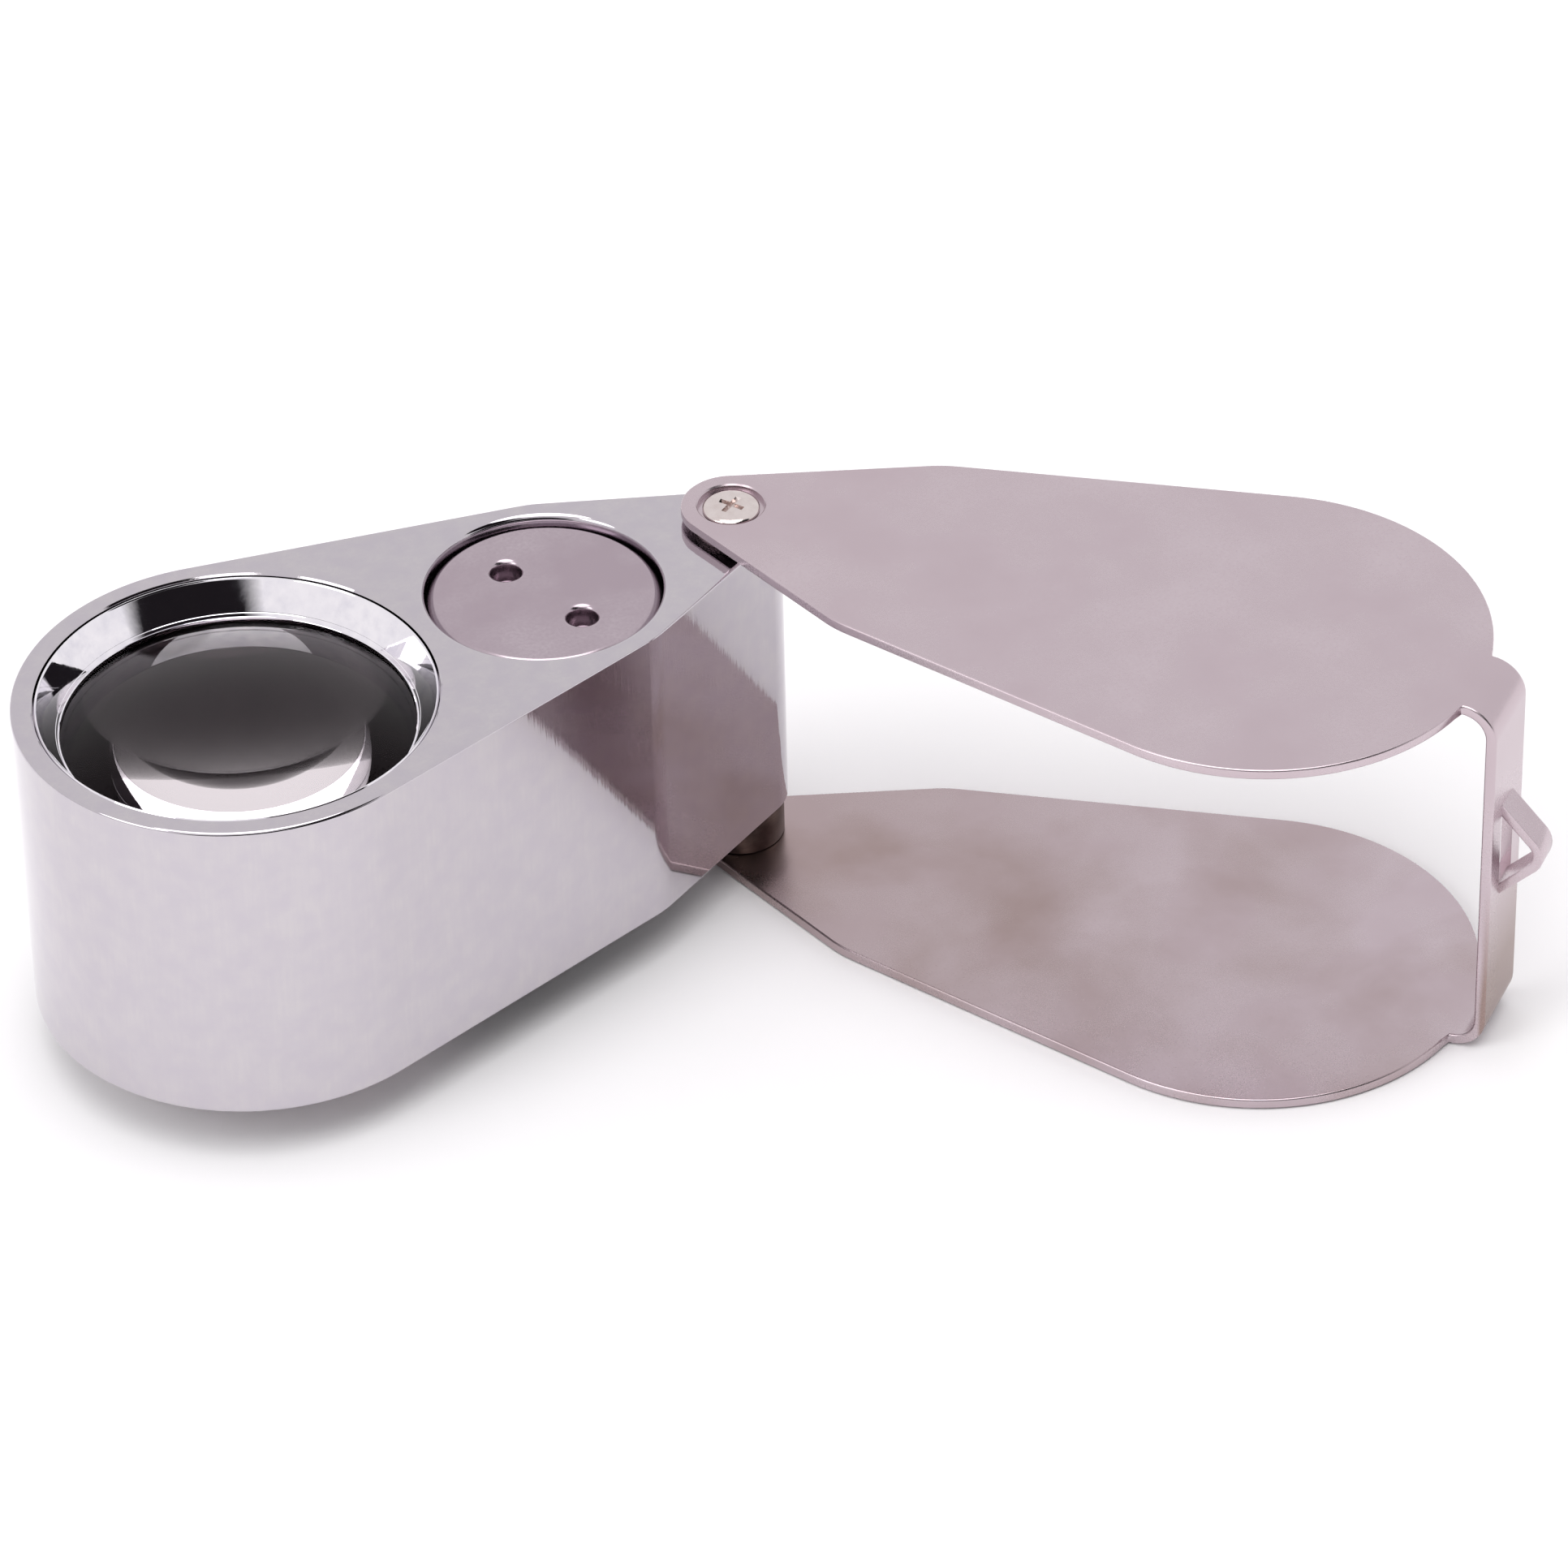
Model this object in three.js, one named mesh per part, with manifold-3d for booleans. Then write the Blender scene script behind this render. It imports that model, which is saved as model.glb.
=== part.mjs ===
// Folding hand lens with a lamp: a teardrop housing that swings out of a bent sheet-metal cover.
// Units are millimetres, +Z is up. The housing lies along X with its lens at -X; the cover is open.
import * as THREE from 'three';
import { mergeVertices } from 'three/addons/utils/BufferGeometryUtils.js';
import Module from 'manifold-3d';

const wasm = await Module();
wasm.setup();

const degrees = Math.PI / 180;

// ---------------------------------------------------------------- driving dimensions

// whole tool
const openAngle = 126.6; // degrees, from the housing round to the cover
const housingHeight = 24.8;
const edgeChamfer = 0.25;
const sheet = 0.8; // cover's steel
const upperGap = 0.5; // housing to upper plate
const lowerGap = 3.2; // housing to lower plate, where the lamps stand proud
const seatGap = 0.05; // between faces that rest on each other
const overcut = 1; // how far a cut runs past the face that it opens

// lenses and the ring that holds them
const lensRadius = 13.2;
const lensEdge = 2.0; // thickness at the rim
const lensRim = 0.75; // flat rim round each domed face
const eyeTopCurve = 34;
const eyeBottomCurve = 70;
const fieldTopCurve = 46;
const boreClearance = 0.1;
const spacerWall = 0.7;
const tunnelLip = 1.1; // ledge that the field lens sits on
const tunnelLength = 8.0; // open tunnel below the field lens
const ringWidth = 0.95; // ring's outside beyond the lens
const ringHeight = 2.75;
const ringClearance = 0.1;
const ringOverlap = 0.7; // ring's foot over the lens
const ringLand = 0.25; // flat rim at the top of the cone
const ringSunk = 0.15; // rim below the housing's top face
const ringLip = 0.35; // small step at the foot of the cone
const ringStep = 0.2;
const rimWall = 1.55; // housing outside the ring

// battery compartment
const cellRadius = 8.0;
const cellHeight = 2.0;
const cellGap = 0.2;
const cellPoleStep = 1.1;
const cellPoleHeight = 0.35;
const cellClearance = 0.15;
const cupWall = 0.25;
const cupFloor = 0.6;
const cupClearance = 0.1;
const wellChamfer = 0.4;
const wellFloor = 1.3; // metal between battery well and wiring room
const capSunk = 0.6;
const capThickness = 2.6;
const capClearance = 0.15;
const capBevel = 0.45;
const spannerPitch = 7.8;
const spannerRadius = 1.1;
const spannerFlare = 0.3;
const spannerDepth = 1.3;
const spannerAngle = 105; // degrees from +X
const springHoleRadius = 3.4;
const springBaseRadius = 2.7;
const springTopRadius = 1.7;
const springWire = 0.25; // radius
const springTurns = 4;

// housing's plan: metal round the pivot, the battery well and the lens
const pivotRadius = 3.6;
const pivotToWell = 6.85;
const bridge = 1.3; // between battery well and lens ring
const wellSideWall = 0.85; // at the bends
const bendBeforeWell = 3.95;
const bendRadius = 9;

// cover beyond the housing's plan
const coverReachExtra = 0.6;
const coverEndExtra = 0.4;
const coverBendExtra = 0.85;
const coverBendWidthExtra = 0.8;

// wiring room and lamp cover
const wall = 1.6;
const lensWall = 1.4; // between lens bore and wiring room
const coverLedge = 0.8; // rests the lamp cover's edge
const coverFromBush = 3.6;
const lampCoverThickness = 1.2;
const lampCoverClearance = 0.15;
const coverScrewHead = 1.6;
const coverScrewShank = 0.8;
const coverScrewHeadHeight = 0.7;
const coverScrewLength = 4.0;
const coverScrewClearance = 0.15;
const coverScrewSeat = 0.05; // shank inside its thread
const coverScrewBottom = 0.5; // thread left below the screw's tip
const coverScrewCrossLength = 1.9;
const coverScrewCrossWidth = 0.35;
const coverScrewCrossDepth = 0.35;
const coverScrewFromEdge = 2.3;
const roomFromScrew = 2.7;
const postRadius = 2.0;

// lamp circuit
const boardThickness = 0.8;
const boardClearance = 0.3;
const boardBelowRoof = 4.0;
const lampRadius = 1.5;
const lampFlangeWidth = 0.4;
const lampFlange = 1.0;
const lampFlangeGap = 0.1; // above the clearance round its pocket
const lampAbovePlate = 0.9; // dome clear of the lower plate
const lampSpread = 28; // degrees either side of the housing's centre line
const lampTilt = 10; // degrees towards the lens axis
const lampClearance = 0.3;
const lampPocketDepth = 3.2;
const lampPocketWall = 0.9;
const leadRadius = 0.25;
const leadSpacing = 1.3;
const leadFromWall = 0.8;
const leadHoleClearance = 0.2;
const leadTail = 0.6; // above the board
const resistorRadius = 0.8;
const resistorLength = 3.4;
const resistorWire = 0.8; // straight wire past each end
const resistorLegs = 0.6; // end of the body to the middle of a leg
const resistorBelowBoard = 0.1;
const contactLength = 2.6;
const contactHalfWidth = 1.0;
const contactThickness = 0.3;
const contactClear = 2.65; // contact strip beyond the well's middle and beyond the spring
const switchBeyondWell = 3.65;
const switchLength = 6.6;
const switchDepth = 2.6;
const switchHeight = 3.0;
const knobLength = 2.2;
const knobHeight = 1.5;
const knobProud = 1.0;
const knobRoot = 0.9; // length inside the switch's body
const knobTravel = 2.0;
const knobClearance = 0.3;

// pivot
const bushRadius = 2.0;
const screwShoulder = 1.3;
const screwThread = 0.9;
const screwLength = 7.0; // thread in the bush
const screwHead = 2.05;
const screwHeadRound = 0.12;
const screwHeadGap = 0.37;
const screwRecessDepth = 0.45;
const pivotClearance = 0.08;
const spacerRadius = 3.3;
const washerRadius = 2.6;
const crossLength = 2.3;
const crossWidth = 0.45;
const crossDepth = 0.28;

// strip that joins the cover's plates, and its lanyard loop
const webHalfWidth = 3.2;
const webClearance = 2.55; // housing's end to the strip's inner face
const webBend = 2.6;
const webOverlap = 3.0; // strip's start inside the plate's round end
const loopAboveMiddle = 1.7;
const loopHalfHeight = 3.85;
const loopProud = 3.1;
const loopHalfWidth = 1.0;
const loopApexRadius = 1.0;
const loopApexSweep = 0.2; // radians that the apex turns past its legs
const loopStrap = 0.6; // thickness
const loopFoot = 0.8; // metal left between the loop's feet and its window
const loopSlotGap = 0.15;

// ---------------------------------------------------------------- derived places

const aperture = lensRadius - ringOverlap;
const tunnelRadius = lensRadius - tunnelLip;
const boreRadius = lensRadius + boreClearance;
const ringRadius = lensRadius + ringWidth;
const wellRadius = cellRadius + cellClearance + cupWall + cupClearance;
const wellAlong = pivotToWell + wellRadius;

// Each plan is a big round, two soft bends and a small round on the pivot, along its own +X.
const housingPlan = {
  reach: wellAlong + wellRadius + wellChamfer + bridge + ringClearance + ringRadius,
  endRadius: ringRadius + ringClearance + rimWall,
  bendAlong: wellAlong - bendBeforeWell,
  bendAcross: wellRadius + wellSideWall,
};
const coverPlan = {
  reach: housingPlan.reach + coverReachExtra,
  endRadius: housingPlan.endRadius + coverEndExtra,
  bendAlong: housingPlan.bendAlong + coverBendExtra,
  bendAcross: housingPlan.bendAcross + coverBendWidthExtra,
};

const housingLow = sheet + lowerGap;
const housingHigh = housingLow + housingHeight;
const upperPlateLow = housingHigh + upperGap;
const coverHigh = upperPlateLow + sheet;
const lensX = -housingPlan.reach;
const wellX = -wellAlong;

const ringLow = housingHigh - ringSunk - ringHeight;
const eyeHigh = ringLow - seatGap;
const eyeLow = eyeHigh - lensEdge;
const shoulderTop = housingLow + tunnelLength;
const fieldLow = shoulderTop + seatGap;
const fieldHigh = fieldLow + lensEdge;

const capLow = housingHigh - capSunk - capThickness;
const upperCellLow = capLow - cellGap - cellHeight;
const lowerCellLow = upperCellLow - cellGap - cellHeight;
const cupLow = lowerCellLow - cellGap - cupFloor;
const wellLow = cupLow - seatGap;
const roof = wellLow - wellFloor;
const boardHigh = roof - boardBelowRoof;
const boardLow = boardHigh - boardThickness;

const lampCoverHigh = housingLow + lampCoverThickness;
const lampOrbit = boreRadius + lensWall + leadRadius + leadFromWall; // lens axis to lamp
const lampFlangeRadius = lampRadius + lampFlangeWidth;
const lampProud = lowerGap - lampAbovePlate;
const coverStart = bushRadius + coverFromBush; // from the pivot axis
const frontScrewX = -coverStart - coverScrewFromEdge;
const roomStart = roomFromScrew - frontScrewX;
const rearScrewX = lensX + boreRadius + lensWall + coverScrewHead;
const roomEnd = lampOrbit * Math.cos(lampSpread * degrees)
  - lampFlangeRadius - lampClearance - lampPocketWall; // from the lens axis
const switchAlong = wellAlong + switchBeyondWell; // along the housing's side
const screwRecess = screwHead + screwHeadGap;
const loopMiddle = coverHigh / 2 + loopAboveMiddle;
const webOutside = housingPlan.reach + housingPlan.endRadius + webClearance + sheet;
const switchZ = boardHigh + seatGap + switchHeight / 2;

// Angles of the outline's normals on its two straight stretches, towards the big and small rounds.
function sideNormals({ reach, endRadius, bendAlong, bendAcross }) {
  const toEnd = Math.hypot(bendAcross, reach - bendAlong);
  const toPivot = Math.hypot(bendAcross, bendAlong);
  return {
    end: Math.atan2(bendAcross, bendAlong - reach) - Math.acos(endRadius / toEnd),
    pivot: Math.atan2(bendAcross, bendAlong) + Math.acos(pivotRadius / toPivot),
  };
}

const sideSlope = sideNormals(housingPlan).end - Math.PI / 2;
const sideDistance = housingPlan.endRadius - housingPlan.reach * Math.sin(sideSlope);

// ---------------------------------------------------------------- solids

function toSolid(geometry) {
  const bare = geometry.index ? geometry.toNonIndexed() : geometry.clone();
  bare.deleteAttribute('normal');
  bare.deleteAttribute('uv');
  const merged = mergeVertices(bare, 1e-4);
  return new wasm.Manifold(new wasm.Mesh({
    numProp: 3,
    vertProperties: merged.attributes.position.array,
    triVerts: new Uint32Array(merged.index.array),
  }));
}

function toGeometry(solid) {
  const mesh = solid.getMesh();
  const geometry = new THREE.BufferGeometry();
  geometry.setAttribute('position', new THREE.BufferAttribute(mesh.vertProperties, 3));
  geometry.setIndex(new THREE.BufferAttribute(mesh.triVerts, 1));
  const flat = geometry.toNonIndexed();
  flat.computeVertexNormals();
  return flat;
}

function cut(body, ...tools) {
  let solid = toSolid(body);
  for (const tool of tools) solid = solid.subtract(toSolid(tool));
  return toGeometry(solid);
}

function join(...bodies) {
  let solid = toSolid(bodies[0]);
  for (const body of bodies.slice(1)) solid = solid.add(toSolid(body));
  return toGeometry(solid);
}

function common(body, other) {
  return toGeometry(toSolid(body).intersect(toSolid(other)));
}

function disc(radius, low, high, x = 0, y = 0, sides = 32) {
  return tapered(radius, radius, low, high, x, y, sides);
}

function tapered(radiusLow, radiusHigh, low, high, x = 0, y = 0, sides = 32) {
  const geometry = new THREE.CylinderGeometry(radiusHigh, radiusLow, high - low, sides);
  geometry.rotateX(Math.PI / 2);
  return geometry.translate(x, y, (low + high) / 2);
}

function block(lowX, highX, lowY, highY, lowZ, highZ) {
  const geometry = new THREE.BoxGeometry(highX - lowX, highY - lowY, highZ - lowZ);
  return geometry.translate((lowX + highX) / 2, (lowY + highY) / 2, (lowZ + highZ) / 2);
}

// Turned about Z from [radius, height] pairs that run from the axis, up the outside, to the axis.
function turned(profile, sides = 48) {
  const points = profile.map(([radius, height]) => new THREE.Vector2(radius, height));
  return new THREE.LatheGeometry(points, sides).rotateX(Math.PI / 2);
}

// Points of an arc as [radius from the axis, height], for a domed face of the given curve radius.
function domed(curve, edgeRadius, edgeHeight, steps, sign) {
  const drop = curve - Math.sqrt(curve ** 2 - edgeRadius ** 2);
  return Array.from({ length: steps + 1 }, (_, i) => {
    const radius = (edgeRadius * i) / steps;
    const sag = curve - Math.sqrt(curve ** 2 - radius ** 2);
    return [radius, edgeHeight + sign * (drop - sag)];
  });
}

// Teardrop: a big round at the reach, a small round on the pivot and a soft bend on each side.
// The inset moves the whole outline inwards; direction -1 points it along -X.
function teardrop(plan, inset = 0, direction = 1) {
  const { reach, endRadius, bendAlong, bendAcross } = plan;
  const normals = sideNormals(plan);
  const middle = (normals.end + normals.pivot) / 2;
  const bendOffset = bendRadius / Math.cos((normals.pivot - normals.end) / 2);
  const bendX = bendAlong - bendOffset * Math.cos(middle);
  const bendY = bendAcross - bendOffset * Math.sin(middle);

  const side = [
    ...arc(0, 0, pivotRadius - inset, Math.PI, normals.pivot, 6),
    ...arc(bendX, bendY, bendRadius - inset, normals.pivot, normals.end, 3),
    ...arc(reach, 0, endRadius - inset, normals.end, 0, 24),
  ];
  const otherSide = side.slice(1, -1).reverse().map((point) => new THREE.Vector2(point.x, -point.y));
  const points = [...side, ...otherSide];
  return new THREE.Shape(points.map((point) => new THREE.Vector2(direction * point.x, point.y)));
}

function arc(x, y, radius, from, to, steps) {
  return Array.from({ length: steps + 1 }, (_, i) => {
    const angle = from + ((to - from) * i) / steps;
    return new THREE.Vector2(x + radius * Math.cos(angle), y + radius * Math.sin(angle));
  });
}

function pairs(points) {
  return points.map((point) => [point.x, point.y]);
}

function slab(shape, low, high, chamfer = 0) {
  const geometry = new THREE.ExtrudeGeometry(shape, {
    depth: high - low - 2 * chamfer,
    bevelEnabled: chamfer > 0,
    bevelThickness: chamfer,
    bevelSize: chamfer,
    bevelOffset: -chamfer,
    bevelSegments: 1,
    curveSegments: 6,
  });
  return geometry.translate(0, 0, low + chamfer);
}

// An outline drawn in the X-Z plane, pushed out to equal distances either side of Y = 0.
function upright(points, halfWidth) {
  const shape = new THREE.Shape(points.map(([x, z]) => new THREE.Vector2(x, z)));
  const geometry = new THREE.ExtrudeGeometry(shape, { depth: 2 * halfWidth, bevelEnabled: false });
  return geometry.rotateX(Math.PI / 2).translate(0, halfWidth, 0);
}

// ---------------------------------------------------------------- finishes

const finishes = {
  chrome: { color: 0xbab7bf, roughness: 0.25, metalness: 1 },
  brightChrome: { color: 0xdedee2, roughness: 0.06, metalness: 1 },
  satinNickel: { color: 0xb8acb0, roughness: 0.35, metalness: 1 },
  polishedNickel: { color: 0xcfc8c4, roughness: 0.15, metalness: 1 },
  darkMetal: { color: 0x3a322e, roughness: 0.45, metalness: 1 },
  blackMetal: { color: 0x141416, roughness: 0.6, metalness: 0.4 },
  brass: { color: 0xb08d4a, roughness: 0.3, metalness: 1 },
  spring: { color: 0xc9a86a, roughness: 0.3, metalness: 1 },
  cell: { color: 0xc4c6c8, roughness: 0.28, metalness: 1 },
  blackPlastic: { color: 0x17181a, roughness: 0.5, metalness: 0 },
  board: { color: 0x1c5a34, roughness: 0.55, metalness: 0 },
  ceramic: { color: 0x6f8fa8, roughness: 0.5, metalness: 0 },
  glass: { color: 0xe8f0f2, roughness: 0.02, metalness: 0, transparent: true, opacity: 0.35 },
};

function piece(name, geometry, finish) {
  const mesh = new THREE.Mesh(geometry, new THREE.MeshStandardMaterial(finishes[finish]));
  mesh.name = name;
  return mesh;
}

// ---------------------------------------------------------------- housing

// A lamp stands on its own tilted axis: its origin is on the top face of the lamp cover.
function onLampAxis(geometry, side) {
  const angle = side * lampSpread * degrees;
  const towardsLens = new THREE.Vector3(-Math.cos(angle), -Math.sin(angle), 0);
  const tiltAxis = new THREE.Vector3(0, 0, 1).cross(towardsLens);
  geometry.applyMatrix4(new THREE.Matrix4().makeRotationAxis(tiltAxis, -lampTilt * degrees));
  return geometry.translate(
    lensX + lampOrbit * Math.cos(angle), lampOrbit * Math.sin(angle), lampCoverHigh);
}

// The room under the battery well: the housing's plan moved inwards, from its start to the lens.
function wiringRoom(inset, low, high, start, lensKeepOut) {
  const plan = slab(teardrop(housingPlan, inset, -1), low, high);
  const fromStart = block(lensX + roomEnd, -start,
    -housingPlan.endRadius, housingPlan.endRadius, low - overcut, high + overcut);
  const lensSide = disc(lensKeepOut, low - overcut, high + overcut, lensX, 0, 64);
  return cut(common(plan, fromStart), lensSide);
}

// The flat side that carries the switch, seen from the pivot axis: X runs back along the side
// from the lens to the pivot, and Y points out through the wall.
function onSwitchSide(geometry) {
  return geometry.rotateZ(-sideSlope);
}

function switchOpening(length, height, innerFace, outerFace, clearance) {
  return block(
    -switchAlong - knobTravel - length / 2 - clearance, -switchAlong + length / 2 + clearance,
    innerFace, outerFace,
    switchZ - height / 2 - clearance, switchZ + height / 2 + clearance);
}

function housing() {
  const body = slab(teardrop(housingPlan, 0, -1), housingLow, housingHigh, edgeChamfer);
  const room = cut(
    wiringRoom(wall, housingLow, roof, roomStart, boreRadius + lensWall),
    disc(postRadius, housingLow - overcut, housingHigh, rearScrewX, 0, 20));
  const lampPocket = () => disc(
    lampFlangeRadius + lampClearance, -overcut, lampPocketDepth, 0, 0, 20);
  const screwHoleHigh = housingLow + coverScrewLength + coverScrewBottom;
  const screwHole = (x) => disc(coverScrewShank, housingLow, screwHoleHigh, x, 0, 12);
  return cut(
    body,
    disc(ringRadius + ringClearance, ringLow, housingHigh + overcut, lensX, 0, 64),
    disc(boreRadius, shoulderTop, ringLow + overcut, lensX, 0, 64),
    disc(tunnelRadius, housingLow - overcut, shoulderTop + overcut, lensX, 0, 64),
    disc(wellRadius, wellLow, housingHigh + overcut, wellX, 0, 48),
    tapered(wellRadius, wellRadius + 2 * wellChamfer, housingHigh - wellChamfer,
      housingHigh + wellChamfer, wellX, 0, 48),
    disc(springHoleRadius, roof - overcut, wellLow + overcut, wellX, 0, 24),
    room,
    wiringRoom(wall - coverLedge, housingLow - overcut, lampCoverHigh, coverStart,
      tunnelRadius + coverLedge),
    onLampAxis(lampPocket(), 1),
    onLampAxis(lampPocket(), -1),
    disc(bushRadius, housingLow - overcut, housingHigh + overcut, 0, 0, 24),
    screwHole(frontScrewX),
    screwHole(rearScrewX),
    onSwitchSide(switchOpening(knobLength, knobHeight, sideDistance - wall - overcut,
      sideDistance + overcut, knobClearance)));
}

// ---------------------------------------------------------------- lenses

function lensRetainingRing() {
  const high = ringLow + ringHeight;
  return turned([
    [aperture, ringLow],
    [ringRadius, ringLow],
    [ringRadius, high],
    [ringRadius - ringLand, high],
    [aperture + ringStep, ringLow + ringLip],
    [aperture, ringLow + ringLip],
    [aperture, ringLow],
  ], 64);
}

// A lens with domed faces inside a narrow flat rim; a curve of 0 leaves that face flat.
function lens(rimLow, rimHigh, lowerCurve, upperCurve) {
  const clear = lensRadius - lensRim;
  const lower = lowerCurve ? domed(lowerCurve, clear, rimLow, 4, -1) : [[0, rimLow]];
  const upper = upperCurve ? domed(upperCurve, clear, rimHigh, 6, 1) : [[0, rimHigh]];
  return turned([...lower, [lensRadius, rimLow], [lensRadius, rimHigh], ...upper.reverse()], 48);
}

function lensSpacerRing() {
  const low = fieldHigh + seatGap;
  const high = eyeLow - seatGap;
  const inner = lensRadius - spacerWall;
  return turned([[inner, low], [lensRadius, low], [lensRadius, high], [inner, high], [inner, low]], 48);
}

// ---------------------------------------------------------------- battery compartment

function batteryCap() {
  const radius = wellRadius - capClearance;
  const high = capLow + capThickness;
  const body = turned([
    [0, capLow], [radius, capLow], [radius, high - capBevel], [radius - capBevel, high], [0, high],
  ]);
  const holes = [1, -1].flatMap((side) => {
    const x = side * (spannerPitch / 2) * Math.cos(spannerAngle * degrees);
    const y = side * (spannerPitch / 2) * Math.sin(spannerAngle * degrees);
    return [
      disc(spannerRadius, high - spannerDepth, high + overcut, x, y, 20),
      tapered(spannerRadius, spannerRadius + 2 * spannerFlare, high - spannerFlare,
        high + spannerFlare, x, y, 20),
    ];
  });
  return cut(body, ...holes).translate(wellX, 0, 0);
}

function coinCell(low) {
  const high = low + cellHeight;
  const poleRadius = cellRadius - cellPoleStep;
  const rim = low + cellPoleHeight;
  return turned([
    [0, low], [poleRadius, low], [poleRadius, rim], [cellRadius, rim], [cellRadius, high], [0, high],
  ], 36).translate(wellX, 0, 0);
}

function cellCup() {
  const radius = wellRadius - cupClearance;
  const high = capLow - seatGap;
  return turned([
    [springHoleRadius, cupLow], [radius, cupLow], [radius, high], [radius - cupWall, high],
    [radius - cupWall, cupLow + cupFloor], [springHoleRadius, cupLow + cupFloor],
    [springHoleRadius, cupLow],
  ], 40).translate(wellX, 0, 0);
}

class ConicalCoil extends THREE.Curve {
  getPoint(t, target = new THREE.Vector3()) {
    const angle = t * springTurns * 2 * Math.PI;
    const radius = springBaseRadius + t * (springTopRadius - springBaseRadius);
    const low = boardHigh + springWire + seatGap;
    const high = lowerCellLow - springWire - seatGap;
    return target.set(radius * Math.cos(angle), radius * Math.sin(angle), low + t * (high - low));
  }
}

function cellSpring() {
  const section = new THREE.Shape().absarc(0, 0, springWire, 0, 2 * Math.PI);
  const geometry = new THREE.ExtrudeGeometry(section, {
    steps: 64, curveSegments: 3, extrudePath: new ConicalCoil(), bevelEnabled: false,
  });
  return geometry.translate(wellX, 0, 0);
}

// ---------------------------------------------------------------- lamp circuit

function circuitBoard() {
  const plan = wiringRoom(wall + boardClearance, boardLow, boardHigh,
    roomStart + boardClearance, boreRadius + lensWall + boardClearance);
  const leadHoles = [1, -1].flatMap((side) => [1, -1].map((lead) => onLampAxis(
    disc(leadRadius + leadHoleClearance, lampPocketDepth, housingHeight, 0, lead * leadSpacing / 2, 10)
      .rotateZ(side * lampSpread * degrees), side)));
  const postHole = disc(postRadius + boardClearance, boardLow - overcut, boardHigh + overcut,
    rearScrewX, 0, 20);
  return cut(plan, postHole, ...leadHoles);
}

function lamp(side) {
  const flangeLow = lampClearance + lampFlangeGap;
  const flangeHigh = flangeLow + lampFlange;
  const tip = -lampCoverThickness - lampProud;
  const dome = arc(0, tip + lampRadius, lampRadius, -Math.PI / 2, 0, 5);
  const bulb = turned([
    [0, tip], ...pairs(dome.slice(1)), [lampRadius, flangeLow],
    [lampFlangeRadius, flangeLow], [lampFlangeRadius, flangeHigh], [0, flangeHigh],
  ], 20);
  const leadTop = boardHigh + leadTail - lampCoverHigh;
  const lead = (y) => disc(leadRadius, flangeHigh - leadRadius, leadTop, 0, y, 8);
  const whole = join(bulb, lead(leadSpacing / 2), lead(-leadSpacing / 2));
  return onLampAxis(whole.rotateZ(side * lampSpread * degrees), side);
}

function resistor() {
  const body = disc(resistorRadius, -resistorLength / 2, resistorLength / 2, 0, 0, 12);
  const wireEnd = resistorLength / 2 + resistorWire;
  const wire = disc(leadRadius, -wireEnd, wireEnd, 0, 0, 8);
  const lyingDown = join(body, wire).rotateX(Math.PI / 2);
  const drop = resistorRadius + resistorBelowBoard;
  const legs = [-1, 1].map((end) => disc(
    leadRadius, -leadRadius, drop, 0, end * (resistorLength / 2 + resistorLegs), 8));
  return join(lyingDown, ...legs).translate(wellX, 0, boardLow - seatGap - drop);
}

// Bent strip that presses up against the roof and takes the battery's return from the housing.
function bodyContact() {
  const low = boardHigh + seatGap;
  const high = roof - seatGap;
  const outline = [
    [0, low], [contactLength, low], [contactLength, low + contactThickness],
    [contactThickness, low + contactThickness], [contactThickness, high - contactThickness],
    [contactLength, high - contactThickness], [contactLength, high], [0, high],
  ];
  const across = springBaseRadius + springWire + contactClear;
  return upright(outline, contactHalfWidth).translate(wellX - contactClear - contactLength, -across, 0);
}

function switchBody() {
  const outerFace = sideDistance - wall - boardClearance;
  const centre = -switchAlong - knobTravel / 2;
  const body = block(centre - switchLength / 2, centre + switchLength / 2,
    outerFace - switchDepth, outerFace, switchZ - switchHeight / 2, switchZ + switchHeight / 2);
  return cut(
    onSwitchSide(body),
    onSwitchSide(switchOpening(knobLength, knobHeight, outerFace - knobRoot - knobClearance,
      outerFace + overcut, knobClearance / 2)));
}

function switchKnob() {
  const root = sideDistance - wall - boardClearance - knobRoot;
  return onSwitchSide(block(-switchAlong - knobLength / 2, -switchAlong + knobLength / 2,
    root, sideDistance + knobProud, switchZ - knobHeight / 2, switchZ + knobHeight / 2));
}

// ---------------------------------------------------------------- lamp cover

function lampCover() {
  const plan = wiringRoom(wall - coverLedge + lampCoverClearance, housingLow, lampCoverHigh - seatGap,
    coverStart + lampCoverClearance, tunnelRadius + coverLedge + lampCoverClearance);
  const lampHole = (side) => onLampAxis(disc(
    lampRadius + lampClearance, -2 * lampCoverThickness, overcut, 0, 0, 20), side);
  const screwHole = (x) => join(
    disc(coverScrewShank + coverScrewClearance, housingLow - overcut, housingHigh, x, 0, 16),
    disc(coverScrewHead + coverScrewClearance, housingLow - overcut,
      housingLow + coverScrewHeadHeight, x, 0, 16));
  return cut(plan, lampHole(1), lampHole(-1), screwHole(frontScrewX), screwHole(rearScrewX));
}

function lampCoverScrew(x) {
  const top = housingLow + coverScrewHeadHeight - seatGap;
  const shank = coverScrewShank - coverScrewSeat;
  const body = turned([
    [0, housingLow], [coverScrewHead, housingLow], [coverScrewHead, top], [shank, top],
    [shank, housingLow + coverScrewLength], [0, housingLow + coverScrewLength],
  ], 16);
  const slots = cross(
    housingLow, coverScrewCrossLength, coverScrewCrossWidth, coverScrewCrossDepth);
  return cut(body, ...slots).translate(x, 0, 0);
}

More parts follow.
